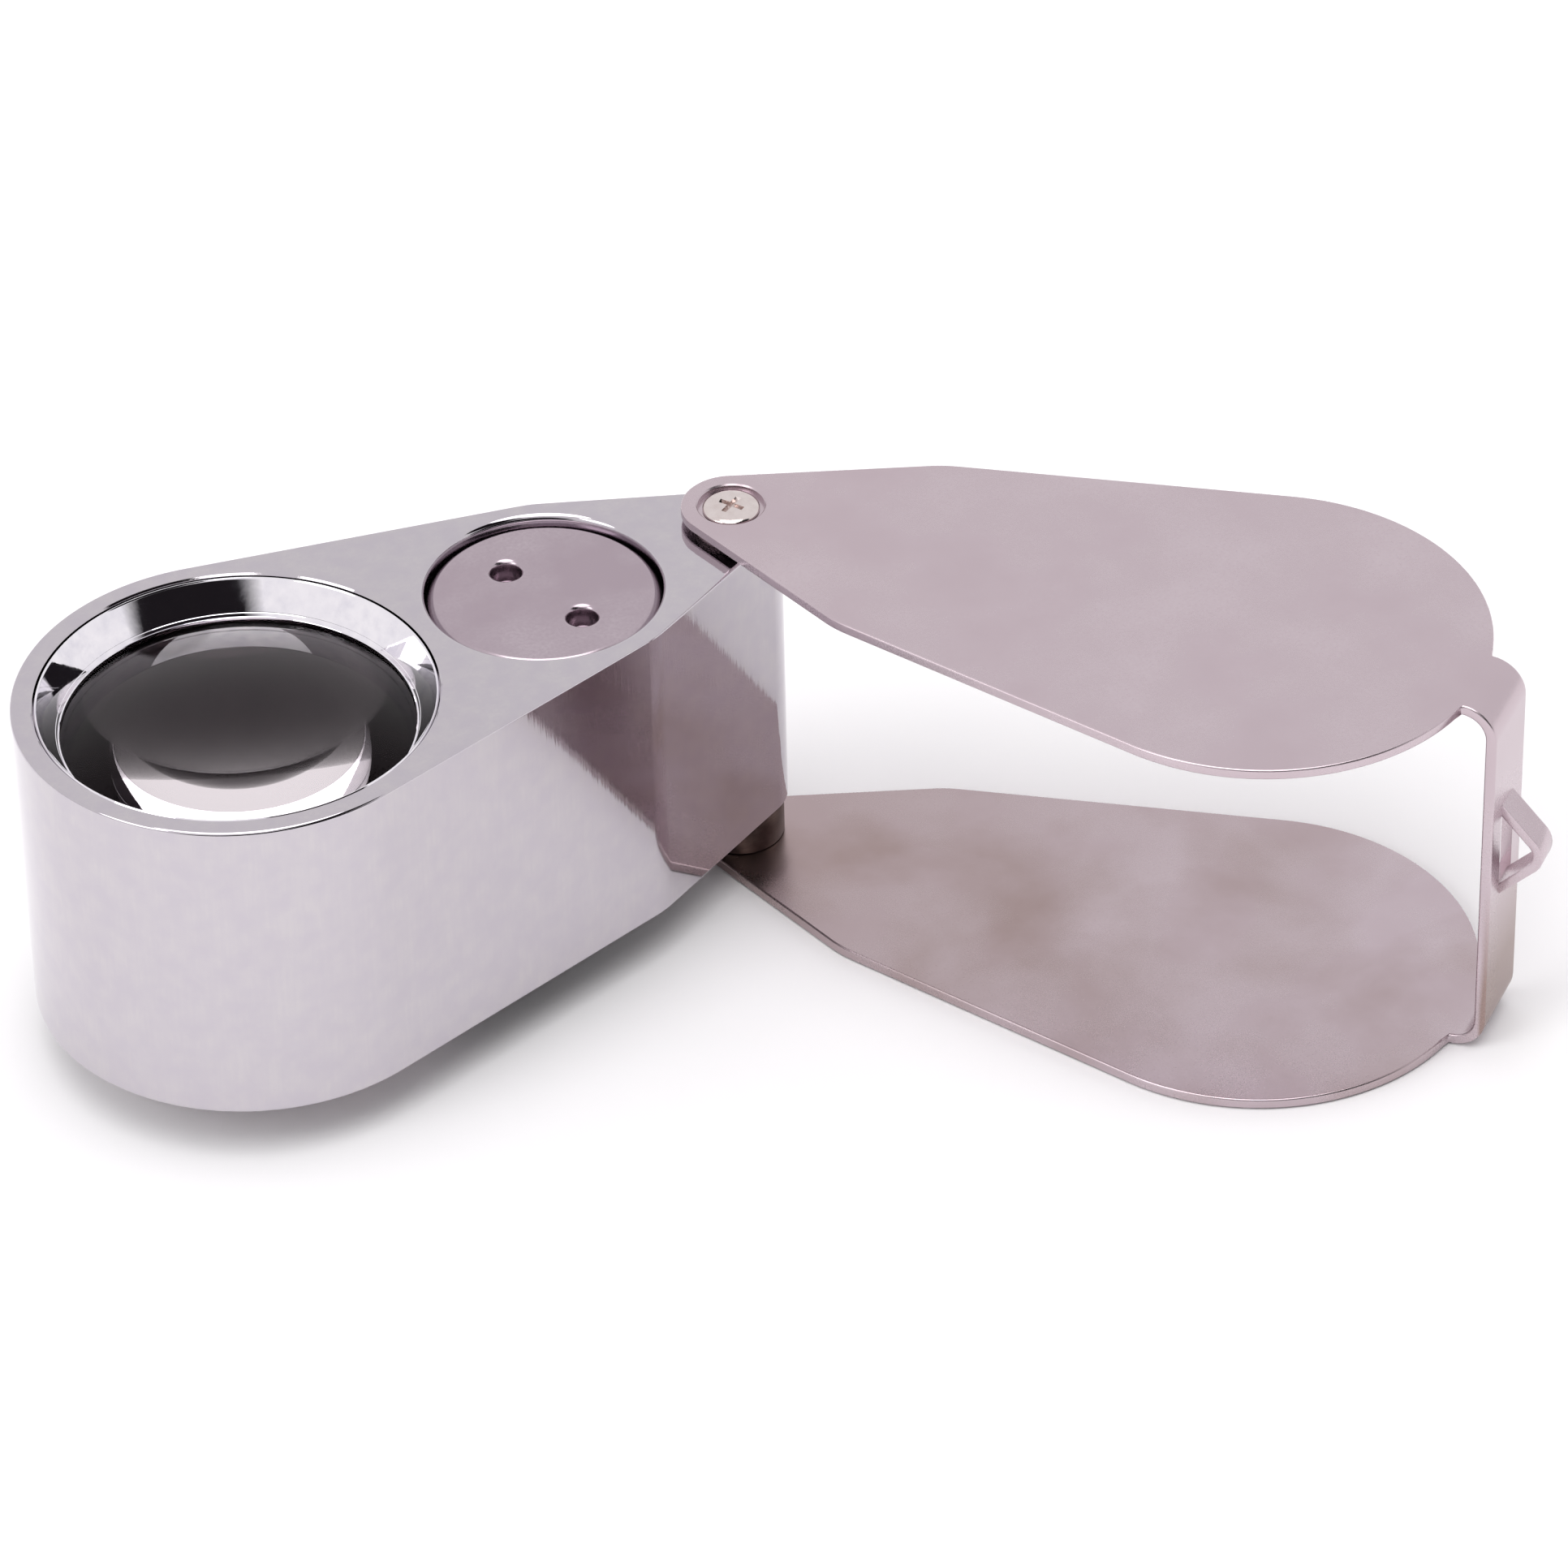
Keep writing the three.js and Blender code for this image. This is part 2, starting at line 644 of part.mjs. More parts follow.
// Two crossed slots that reach the given depth into a screw head whose face is at this height.
function cross(face, length, width, depth) {
  const bar = (halfX, halfY) => block(-halfX, halfX, -halfY, halfY, face - depth, face + depth);
  return [bar(length / 2, width / 2), bar(width / 2, length / 2)];
}

// ---------------------------------------------------------------- pivot

function pivotBush() {
  const outer = bushRadius - pivotClearance;
  const inner = screwThread + pivotClearance;
  const low = housingLow + seatGap;
  const high = housingHigh - seatGap;
  return turned([[inner, low], [outer, low], [outer, high], [inner, high], [inner, low]], 24);
}

// Shouldered screw, modelled head down with its face at z = 0; its head lies in a plate's recess.
function pivotScrew(shoulderEnd) {
  const headHigh = screwRecessDepth - seatGap;
  const body = turned([
    [0, 0], [screwHead - screwHeadRound, 0], [screwHead, screwHeadRound],
    [screwHead, headHigh], [screwShoulder, headHigh], [screwShoulder, shoulderEnd - seatGap],
    [screwThread, shoulderEnd - seatGap], [screwThread, shoulderEnd + screwLength],
    [0, shoulderEnd + screwLength],
  ], 24);
  return cut(body, ...cross(0, crossLength, crossWidth, crossDepth));
}

function spacer(radius, low, high) {
  const inner = screwShoulder + pivotClearance;
  return turned([
    [inner, low + seatGap], [radius, low + seatGap], [radius, high - seatGap],
    [inner, high - seatGap], [inner, low + seatGap],
  ], 32);
}

// ---------------------------------------------------------------- swing cover

// The strip's outline in the plane of the bends: out along one plate, down, and back under.
function stripOutline() {
  const start = coverPlan.reach + coverPlan.endRadius - webOverlap;
  const corner = webOutside - webBend;
  const bend = (radius, height, from, to) => pairs(arc(corner, height, radius, from, to, 6));
  const inside = webBend - sheet;
  return [
    [start, 0],
    ...bend(webBend, webBend, -Math.PI / 2, 0),
    ...bend(webBend, coverHigh - webBend, 0, Math.PI / 2),
    [start, coverHigh],
    [start, coverHigh - sheet],
    ...bend(inside, coverHigh - webBend, Math.PI / 2, 0),
    ...bend(inside, webBend, 0, -Math.PI / 2),
    [start, sheet],
  ];
}

// Lanyard loop: a strap sheared out of the strip and pushed out to a rounded point.
function loopOutline() {
  const turn = Math.PI / 2 - Math.atan2(loopHalfHeight, loopProud) + loopApexSweep;
  const apexX = webOutside + loopProud - loopApexRadius;
  const side = (radius, foot) => [
    [webOutside - sheet / 2, loopMiddle - foot],
    ...pairs(arc(apexX, loopMiddle, radius, -turn, turn, 6)),
    [webOutside - sheet / 2, loopMiddle + foot],
  ];
  const inner = side(loopApexRadius - loopStrap, loopHalfHeight - loopFoot);
  return [...side(loopApexRadius, loopHalfHeight), ...inner.reverse()];
}

function swingCover() {
  const plate = (low) => slab(teardrop(coverPlan), low, low + sheet);
  const strip = upright(stripOutline(), webHalfWidth);
  const hole = screwShoulder + pivotClearance;
  const windowBlock = block(webOutside - 2 * sheet, webOutside + overcut,
    -loopHalfWidth - loopSlotGap, loopHalfWidth + loopSlotGap,
    loopMiddle - loopHalfHeight + loopFoot, loopMiddle + loopHalfHeight - loopFoot);
  const sheetMetal = cut(
    join(plate(0), plate(upperPlateLow), strip),
    windowBlock,
    disc(hole, -overcut, coverHigh + overcut, 0, 0, 24),
    disc(screwRecess, -overcut, screwRecessDepth, 0, 0, 32),
    disc(screwRecess, coverHigh - screwRecessDepth, coverHigh + overcut, 0, 0, 32));
  return join(sheetMetal, upright(loopOutline(), loopHalfWidth));
}

// ---------------------------------------------------------------- assembly

const lensParts = new THREE.Group();
lensParts.position.x = lensX;
lensParts.add(
  piece('lens_retaining_ring', lensRetainingRing(), 'brightChrome'),
  piece('eye_lens', lens(eyeLow, eyeHigh, eyeBottomCurve, eyeTopCurve), 'glass'),
  piece('lens_spacer_ring', lensSpacerRing(), 'blackMetal'),
  piece('field_lens', lens(fieldLow, fieldHigh, 0, fieldTopCurve), 'glass'),
);

const upperScrew = piece('upper_pivot_screw', pivotScrew(sheet + upperGap), 'polishedNickel');
upperScrew.rotation.x = Math.PI;
upperScrew.position.z = coverHigh;

const cover = new THREE.Group();
cover.rotation.z = Math.PI + openAngle * degrees;
cover.add(piece('swing_cover', swingCover(), 'satinNickel'));

const handLens = new THREE.Group();
handLens.add(
  piece('housing', housing(), 'chrome'),
  lensParts,
  piece('battery_cap', batteryCap(), 'satinNickel'),
  piece('upper_coin_cell', coinCell(upperCellLow), 'cell'),
  piece('lower_coin_cell', coinCell(lowerCellLow), 'cell'),
  piece('cell_cup', cellCup(), 'blackPlastic'),
  piece('cell_spring', cellSpring(), 'spring'),
  piece('circuit_board', circuitBoard(), 'board'),
  piece('resistor', resistor(), 'ceramic'),
  piece('body_contact', bodyContact(), 'brass'),
  piece('left_lamp', lamp(1), 'glass'),
  piece('right_lamp', lamp(-1), 'glass'),
  piece('switch_body', switchBody(), 'blackPlastic'),
  piece('switch_knob', switchKnob(), 'blackPlastic'),
  piece('lamp_cover', lampCover(), 'blackPlastic'),
  piece('lamp_cover_screw_front', lampCoverScrew(frontScrewX), 'polishedNickel'),
  piece('lamp_cover_screw_rear', lampCoverScrew(rearScrewX), 'polishedNickel'),
  piece('pivot_bush', pivotBush(), 'brass'),
  piece('upper_washer', spacer(washerRadius, housingHigh, upperPlateLow), 'polishedNickel'),
  piece('lower_spacer', spacer(spacerRadius, sheet, housingLow), 'darkMetal'),
  piece('lower_pivot_screw', pivotScrew(sheet + lowerGap), 'polishedNickel'),
  upperScrew,
  cover,
);

// The origin is under the middle of the open tool, on the surface that it lies on.
const extent = new THREE.Box3().setFromObject(handLens, true);
const middle = extent.getCenter(new THREE.Vector3());
handLens.position.set(-middle.x, -middle.y, 0);

const part = new THREE.Group();
part.add(handLens);

export default part;
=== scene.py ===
import math
import bmesh
import bpy
from mathutils import Matrix, Vector


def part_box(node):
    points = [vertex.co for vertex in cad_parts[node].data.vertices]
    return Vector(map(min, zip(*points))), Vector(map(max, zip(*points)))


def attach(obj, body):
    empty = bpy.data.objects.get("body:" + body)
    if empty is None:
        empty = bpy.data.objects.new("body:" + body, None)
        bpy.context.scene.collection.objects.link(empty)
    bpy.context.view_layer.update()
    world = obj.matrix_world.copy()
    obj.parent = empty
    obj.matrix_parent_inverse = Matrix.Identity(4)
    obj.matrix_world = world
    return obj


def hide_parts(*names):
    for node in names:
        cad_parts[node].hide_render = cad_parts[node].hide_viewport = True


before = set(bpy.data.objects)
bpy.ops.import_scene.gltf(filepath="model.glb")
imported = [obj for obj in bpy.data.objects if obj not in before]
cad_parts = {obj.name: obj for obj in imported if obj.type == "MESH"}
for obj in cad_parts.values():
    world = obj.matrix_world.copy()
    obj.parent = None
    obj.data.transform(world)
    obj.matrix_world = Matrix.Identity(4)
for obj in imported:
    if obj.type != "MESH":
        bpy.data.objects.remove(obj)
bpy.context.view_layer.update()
mm = 0.001


# Camera: a long lens a little over half a metre away, looking down on the open tool from its lens end
# and turned a little about its own axis.
look_at = Vector((4.0, 4.04, 15.05)) * mm
view_azimuth = math.radians(-29.377)
view_elevation = math.radians(37.673)
view_roll = math.radians(-1.332)
view_distance = 588.67 * mm

bpy.ops.object.select_all(action="DESELECT")
bpy.ops.object.camera_add()
camera = bpy.context.object
camera.data.sensor_width = 36
camera.data.lens = 189.65
turn_to_view = Matrix.Rotation(view_azimuth, 4, "Z") @ Matrix.Rotation(math.pi / 2 - view_elevation, 4, "X")
towards_camera = turn_to_view.to_3x3() @ Vector((0, 0, 1))
camera.matrix_world = (Matrix.Translation(look_at + view_distance * towards_camera)
                       @ turn_to_view @ Matrix.Rotation(view_roll, 4, "Z"))
bpy.context.scene.camera = camera


# Studio: a pale floor, a softbox overhead, one at the lens end and a white room round them. Two dark
# stands in front of the object give its bright metal something to reflect.
floor_side = 4.0
floor_drop = 0.1 * mm
floor_color = (0.965, 0.96, 0.965, 1)
room_color = (0.92, 0.905, 0.92, 1)
dark_color = (0.012, 0.010, 0.012, 1)
# Each stand has an azimuth, an elevation, half the angle it covers and how flat it is squeezed.
dark_stands = ((-9, 30, 40, 5), (22, 46, 22, 1))
stand_blur = 1.5

bpy.ops.mesh.primitive_plane_add(size=floor_side, location=(0, 0, -floor_drop))
floor = bpy.context.object
floor.name = "floor"
floor_paint = bpy.data.materials.new("floor_paint")
floor_paint.use_nodes = True
floor_paint.node_tree.nodes["Principled BSDF"].inputs["Base Color"].default_value = floor_color
floor_paint.node_tree.nodes["Principled BSDF"].inputs["Roughness"].default_value = 0.9
floor_paint.node_tree.nodes["Principled BSDF"].inputs["Specular IOR Level"].default_value = 0.1
floor.data.materials.append(floor_paint)


def softbox(name, azimuth, elevation, distance, width, radiance):
    """A round light, aimed at the origin, that looks equally bright at any size or distance."""
    bpy.ops.object.light_add(type="AREA")
    light = bpy.context.object
    light.name = name
    light.data.shape = "DISK"
    light.data.size = width
    light.data.energy = radiance * math.pi * (math.pi / 4) * width ** 2
    turn = (Matrix.Rotation(math.radians(azimuth), 4, "Z")
            @ Matrix.Rotation(math.radians(90 - elevation), 4, "X"))
    light.matrix_world = turn @ Matrix.Translation((0, 0, distance))


softbox("overhead_softbox", azimuth=-30, elevation=78, distance=1.0, width=0.9, radiance=2.3)
softbox("left_softbox", azimuth=-85, elevation=38, distance=1.1, width=0.56, radiance=2.2)

room = bpy.data.worlds.new("room")
bpy.context.scene.world = room
room.use_nodes = True
room_nodes = room.node_tree.nodes
room_links = room.node_tree.links
direction = room_nodes.new("ShaderNodeTexCoord")
shade = room_nodes.new("ShaderNodeMix")
shade.data_type = "RGBA"
shade.inputs["A"].default_value = room_color
shade.inputs["B"].default_value = dark_color
either = room_nodes.new("ShaderNodeMath")
either.operation = "MAXIMUM"
for number, (azimuth, elevation, half_angle, squeeze) in enumerate(dark_stands):
    squeezed = room_nodes.new("ShaderNodeMapping")
    squeezed.vector_type = "VECTOR"
    squeezed.inputs["Scale"].default_value = (1, 1, squeeze)
    length_one = room_nodes.new("ShaderNodeVectorMath")
    length_one.operation = "NORMALIZE"
    ahead = room_nodes.new("ShaderNodeVectorMath")
    ahead.operation = "DOT_PRODUCT"
    rise = math.radians(elevation)
    ahead.inputs[1].default_value = (Matrix.Rotation(math.radians(azimuth), 3, "Z")
                                     @ Vector((0, -math.cos(rise), math.sin(rise))))
    stand = room_nodes.new("ShaderNodeMapRange")
    stand.inputs["From Min"].default_value = math.cos(math.radians(half_angle + stand_blur))
    stand.inputs["From Max"].default_value = math.cos(math.radians(half_angle - stand_blur))
    room_links.new(direction.outputs["Generated"], squeezed.inputs["Vector"])
    room_links.new(squeezed.outputs["Vector"], length_one.inputs[0])
    room_links.new(length_one.outputs["Vector"], ahead.inputs[0])
    room_links.new(ahead.outputs["Value"], stand.inputs["Value"])
    room_links.new(stand.outputs["Result"], either.inputs[number])
room_links.new(either.outputs["Value"], shade.inputs["Factor"])
room_links.new(shade.outputs["Result"], room_nodes["Background"].inputs["Color"])
bpy.context.scene.view_settings.view_transform = "Standard"


# Housing: a teardrop block of zinc alloy, milled for the lenses, the battery and the lamp circuit,
# polished upright along its sides and chrome plated.
housing_low, housing_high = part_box("housing")
lens_low, lens_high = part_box("eye_lens")
ring_low, ring_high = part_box("lens_retaining_ring")
cup_low, cup_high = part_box("cell_cup")
cap_low, cap_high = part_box("battery_cap")
bush_low, bush_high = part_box("pivot_bush")
lens_axis = (lens_low + lens_high) / 2
well_axis = (cap_low + cap_high) / 2
pivot_axis = (bush_low + bush_high) / 2
housing_reach = pivot_axis.x - lens_axis.x
housing_end = lens_axis.x - housing_low.x
pivot_round = housing_high.x - pivot_axis.x
bend_radius = 9 * mm
housing_bend = (11.4 * mm, 9.35 * mm)
housing_edge = 0.28 * mm
tolerance = 1e-6
origin = Vector((0, 0, 0))


def select_only(piece):
    bpy.ops.object.select_all(action="DESELECT")
    piece.select_set(True)
    bpy.context.view_layer.objects.active = piece


def pick(piece, kind, wanted):
    """Selects only the faces or edges whose every corner passes the test."""
    bpy.ops.mesh.select_mode(type={"faces": "FACE", "edges": "EDGE"}[kind])
    bpy.ops.mesh.select_all(action="DESELECT")
    mesh = bmesh.from_edit_mesh(piece.data)
    for part in getattr(mesh, kind):
        part.select_set(all(wanted(corner.co) for corner in part.verts))
    bmesh.update_edit_mesh(piece.data)


def teardrop(name, reach, end_radius, bend, inset, low, high, sides=256):
    """A slab whose outline wraps four rounds: the end, a bend on each side and the pivot at the origin."""
    along, across = bend
    to_end = (math.atan2(across, along - reach)
              - math.acos(end_radius / math.hypot(across, reach - along)))
    to_pivot = math.atan2(across, along) + math.acos(pivot_round / math.hypot(across, along))
    middle = (to_end + to_pivot) / 2
    offset = bend_radius / math.cos((to_pivot - to_end) / 2)
    bend_x = along - offset * math.cos(middle)
    bend_y = across - offset * math.sin(middle)
    rounds = [(reach, 0, end_radius), (bend_x, bend_y, bend_radius), (bend_x, -bend_y, bend_radius),
              (0, 0, pivot_round)]
    bpy.ops.object.select_all(action="DESELECT")
    for number, (x, y, radius) in enumerate(rounds):
        bpy.ops.mesh.primitive_cylinder_add(vertices=sides, radius=radius - inset, depth=high - low,
                                            location=(x, y, (low + high) / 2))
        if number == 0:
            piece = bpy.context.object
            piece.name = name
            bpy.ops.object.transform_apply(location=True)
            bpy.ops.object.mode_set(mode="EDIT")
    bpy.ops.mesh.select_all(action="SELECT")
    bpy.ops.mesh.convex_hull()
    bpy.ops.mesh.select_all(action="SELECT")
    bpy.ops.mesh.dissolve_limited(angle_limit=math.radians(0.2))
    bpy.ops.object.mode_set(mode="OBJECT")
    return piece


def soften_rims(piece, width, low, high, segments=4):
    """Rounds the outline's edges on the slab's two faces."""
    bpy.ops.object.mode_set(mode="EDIT")
    pick(piece, "edges", lambda p: abs(p.z - low) < tolerance)
    bpy.ops.mesh.bevel(offset=width, segments=segments, clamp_overlap=False)
    pick(piece, "edges", lambda p: abs(p.z - high) < tolerance)
    bpy.ops.mesh.bevel(offset=width, segments=segments, clamp_overlap=False)
    bpy.ops.object.mode_set(mode="OBJECT")


def settle(piece, matrix):
    """Moves the piece by a matrix and writes that into its mesh."""
    select_only(piece)
    piece.matrix_world = matrix
    bpy.ops.object.transform_apply(location=True, rotation=True, scale=True)
    return piece


def place(piece, spot, turn=0.0):
    """Turns the piece about Z, then moves it."""
    return settle(piece, Matrix.Translation(spot) @ Matrix.Rotation(turn, 4, "Z"))


def face_outwards(piece):
    """Turns the faces of a closed mesh outwards, as spin, mirror and extrude can leave them inside out."""
    select_only(piece)
    bpy.ops.object.mode_set(mode="EDIT")
    bpy.ops.mesh.select_all(action="SELECT")
    bpy.ops.mesh.normals_make_consistent(inside=False)
    bpy.ops.object.mode_set(mode="OBJECT")


def turned(name, centre, outline, sides=160):
    """A turned solid from (radius, height) pairs, each ring extruded from the last one. It is a ring
    where the last pair is the first one again, and its ends are filled where it isn't."""
    bpy.ops.object.select_all(action="DESELECT")
    radius, height = outline[0]
    bpy.ops.mesh.primitive_circle_add(vertices=sides, radius=radius, location=(0, 0, height))
    piece = bpy.context.object
    piece.name = name
    bpy.ops.object.transform_apply(location=True)
    bpy.ops.object.mode_set(mode="EDIT")
    bpy.ops.mesh.select_all(action="SELECT")
    for next_radius, next_height in outline[1:]:
        bpy.ops.mesh.extrude_edges_move(TRANSFORM_OT_translate={"value": (0, 0, next_height - height)})
        growth = next_radius / radius
        bpy.ops.transform.resize(value=(growth, growth, 1), center_override=(0, 0, 0))
        radius, height = next_radius, next_height
    bpy.ops.mesh.select_all(action="SELECT")
    if outline[-1] == outline[0]:
        bpy.ops.mesh.remove_doubles(threshold=tolerance)
    else:
        bpy.ops.mesh.fill_holes(sides=0)
    bpy.ops.object.mode_set(mode="OBJECT")
    face_outwards(piece)
    return place(piece, Vector((centre.x, centre.y, 0)))


def cut(piece, *tools, operation="DIFFERENCE"):
    """Cuts the tools out of the piece, or joins or intersects them, and uses them up."""
    for tool in tools:
        bpy.context.view_layer.update()
        select_only(piece)
        step = piece.modifiers.new("cut", "BOOLEAN")
        step.operation = operation
        step.solver = "EXACT"
        step.object = tool
        bpy.ops.object.modifier_apply(modifier=step.name)
        bpy.data.objects.remove(tool)
    return piece


def smooth(piece, angle=32):
    """Smooths the shallow edges, with flat faces kept flat to their rims."""
    select_only(piece)
    bpy.ops.object.shade_smooth_by_angle(angle=math.radians(angle))
    step = piece.modifiers.new("flat_faces", "WEIGHTED_NORMAL")
    step.keep_sharp = True
    step.weight = 100
    bpy.ops.object.modifier_apply(modifier=step.name)


def round_off(piece, width, segments=3, angle=35):
    """Rounds every edge that is sharper than the angle."""
    select_only(piece)
    step = piece.modifiers.new("edges", "BEVEL")
    step.width = width
    step.segments = segments
    step.limit_method = "ANGLE"
    step.angle_limit = math.radians(angle)
    step.use_clamp_overlap = False
    bpy.ops.object.modifier_apply(modifier=step.name)


def block(name, low, high):
    """A box between two corners."""
    bpy.ops.object.select_all(action="DESELECT")
    bpy.ops.mesh.primitive_cube_add(size=1, location=(Vector(low) + Vector(high)) / 2,
                                    scale=Vector(high) - Vector(low))
    bpy.ops.object.transform_apply(location=True, rotation=True, scale=True)
    bpy.context.object.name = name
    return bpy.context.object


# The group that every metal finish shares: fine grain along one way, slow mottling and worn colour.
def metal_surface_group():
    group = bpy.data.node_groups.new("metal_surface", "ShaderNodeTree")
    for name, kind in (("Color", "NodeSocketColor"), ("Mottled Color", "NodeSocketColor"),
                       ("Roughness", "NodeSocketFloat"), ("Roughness Spread", "NodeSocketFloat"),
                       ("Grain", "NodeSocketVector"), ("Mottle", "NodeSocketFloat")):
        group.interface.new_socket(name=name, in_out="INPUT", socket_type=kind)
    for name, kind in (("Color", "NodeSocketColor"), ("Roughness", "NodeSocketFloat"),
                       ("Height", "NodeSocketFloat")):
        group.interface.new_socket(name=name, in_out="OUTPUT", socket_type=kind)
    nodes, links = group.nodes, group.links
    given = nodes.new("NodeGroupInput")
    result = nodes.new("NodeGroupOutput")
    place_in_metal = nodes.new("ShaderNodeTexCoord")
    along_grain = nodes.new("ShaderNodeMapping")
    links.new(place_in_metal.outputs["Object"], along_grain.inputs["Vector"])
    links.new(given.outputs["Grain"], along_grain.inputs["Scale"])
    grain = nodes.new("ShaderNodeTexNoise")
    grain.inputs["Scale"].default_value = 1
    grain.inputs["Detail"].default_value = 3
    links.new(along_grain.outputs["Vector"], grain.inputs["Vector"])
    mottle = nodes.new("ShaderNodeTexNoise")
    mottle.inputs["Detail"].default_value = 4
    links.new(place_in_metal.outputs["Object"], mottle.inputs["Vector"])
    links.new(given.outputs["Mottle"], mottle.inputs["Scale"])
    patches = nodes.new("ShaderNodeMapRange")
    patches.inputs["From Min"].default_value = 0.35
    patches.inputs["From Max"].default_value = 0.68
    links.new(mottle.outputs["Fac"], patches.inputs["Value"])
    both = nodes.new("ShaderNodeMath")
    both.operation = "MULTIPLY"
    links.new(grain.outputs["Fac"], both.inputs[0])
    links.new(patches.outputs["Result"], both.inputs[1])
    speckle = nodes.new("ShaderNodeMapRange")
    speckle.inputs["From Max"].default_value = 0.6
    links.new(both.outputs["Value"], speckle.inputs["Value"])
    color = nodes.new("ShaderNodeMix")
    color.data_type = "RGBA"
    links.new(speckle.outputs["Result"], color.inputs["Factor"])
    links.new(given.outputs["Color"], color.inputs["A"])
    links.new(given.outputs["Mottled Color"], color.inputs["B"])
    links.new(color.outputs["Result"], result.inputs["Color"])
    spread = nodes.new("ShaderNodeMath")
    spread.operation = "MULTIPLY_ADD"
    links.new(both.outputs["Value"], spread.inputs[0])
    links.new(given.outputs["Roughness Spread"], spread.inputs[1])
    links.new(given.outputs["Roughness"], spread.inputs[2])
    links.new(spread.outputs["Value"], result.inputs["Roughness"])
    links.new(grain.outputs["Fac"], result.inputs["Height"])
    return group


metal_surface = metal_surface_group()


def metal(name, color, mottled, roughness, spread, grain, mottle, depth):
    """A metal with its own colour, grain in lines per metre along X, Y and Z, and mottling."""
    material = bpy.data.materials.new(name)
    material.use_nodes = True
    nodes, links = material.node_tree.nodes, material.node_tree.links
    shader = nodes["Principled BSDF"]
    shader.inputs["Metallic"].default_value = 1
    surface = nodes.new("ShaderNodeGroup")
    surface.node_tree = metal_surface
    surface.inputs["Color"].default_value = color
    surface.inputs["Mottled Color"].default_value = mottled
    surface.inputs["Roughness"].default_value = roughness
    surface.inputs["Roughness Spread"].default_value = spread
    surface.inputs["Grain"].default_value = grain
    surface.inputs["Mottle"].default_value = mottle
    relief = nodes.new("ShaderNodeBump")
    relief.inputs["Strength"].default_value = depth
    relief.inputs["Distance"].default_value = 0.01 * mm
    links.new(surface.outputs["Color"], shader.inputs["Base Color"])
    links.new(surface.outputs["Roughness"], shader.inputs["Roughness"])
    links.new(surface.outputs["Height"], relief.inputs["Height"])
    links.new(relief.outputs["Normal"], shader.inputs["Normal"])
    return material


def finish_with(piece, material):
    piece.data.materials.clear()
    piece.data.materials.append(material)


def painted(name, color, mottled, roughness, spread, grain, mottle, depth):
    """A plastic or lacquer with the same surface work as the metals, but not metallic."""
    material = metal(name, color, mottled, roughness, spread, grain, mottle, depth)
    material.node_tree.nodes["Principled BSDF"].inputs["Metallic"].default_value = 0
    return material


satin_chrome = metal("satin_chrome", (0.546, 0.511, 0.554, 1), (0.58, 0.548, 0.571, 1), 0.04, 0.05,
                     (3400, 3400, 260), 620, 0.22)
bore_black = painted("bore_black", (0.012, 0.004, 0.004, 1), (0.014, 0.005, 0.005, 1), 0.75, 0.1,
                     (150, 150, 150), 90, 0.01)

lens_seat = ring_low.z
field_low, field_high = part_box("field_lens")
lens_radius = field_high.x - lens_axis.x
lens_ledge = 1.1 * mm
side_fit = 0.1 * mm
seat_fit = 0.05 * mm
tunnel_radius = lens_radius - lens_ledge
bore_radius = lens_radius + side_fit
ring_seat_radius = ring_high.x - lens_axis.x + side_fit
shoulder = field_low.z - seat_fit
well_radius = cup_high.x - well_axis.x + side_fit
well_chamfer = 0.5 * mm
well_bottom = cup_low.z - seat_fit
edge_round = 0.12 * mm
through = 1 * mm

housing = teardrop("housing_block", housing_reach, housing_end, housing_bend, 0,
                   housing_low.z, housing_high.z)
soften_rims(housing, housing_edge, housing_low.z, housing_high.z)
place(housing, Vector((pivot_axis.x, pivot_axis.y, 0)), math.pi)
lens_bore = turned("lens_bore", lens_axis, [
    (tunnel_radius, housing_low.z - through), (tunnel_radius, shoulder), (bore_radius, shoulder),
    (bore_radius, lens_seat), (ring_seat_radius, lens_seat),
    (ring_seat_radius, housing_high.z - edge_round),
    (ring_seat_radius + edge_round, housing_high.z),
    (ring_seat_radius + edge_round, housing_high.z + through)], 192)
well_rim = well_radius + well_chamfer
well_round = [(well_rim - well_chamfer * math.cos(math.radians(angle)),
               housing_high.z - well_chamfer + well_chamfer * math.sin(math.radians(angle)))
              for angle in range(0, 91, 15)]
battery_well = turned("battery_well", well_axis, [
    (well_radius, well_bottom), *well_round, (well_rim + through, housing_high.z + through)], 160)
spring_hole_radius = 3.4 * mm
wall = 1.6 * mm
lens_wall = 1.4 * mm
well_floor = 1.3 * mm
room_top = well_bottom - well_floor
room_start = 10.6 * mm
lamp_ring = lens_radius + 2.55 * mm
lamp_spread = math.radians(28)
lamp_tilt = math.radians(10)
lamp_room = 3.1 * mm
room_end = lamp_ring * math.cos(lamp_spread) - lamp_room
recess_lip = 0.8 * mm
recess_start = 5.6 * mm
lamp_seat = housing_low.z + 1.2 * mm
pocket_radius = 2.2 * mm
pocket_top = 3.2 * mm
post_radius = 2 * mm
bush_hole_radius = 2 * mm
screw_hole_radius = 0.8 * mm
screw_hole_depth = 4.5 * mm
front_screw = Vector((pivot_axis.x - 7.9 * mm, pivot_axis.y, 0))
rear_screw = Vector((lens_axis.x + bore_radius + 3.0 * mm, lens_axis.y, 0))
side_slope = math.radians(13.677)
knob_travel = 2 * mm
knob_low, knob_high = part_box("switch_knob")
knob_middle = (knob_low + knob_high) / 2
knob_half = (1.1 * mm, 1.9 * mm, 0.75 * mm)
knob_fit = 0.3 * mm
slot_depth = 2.3 * mm


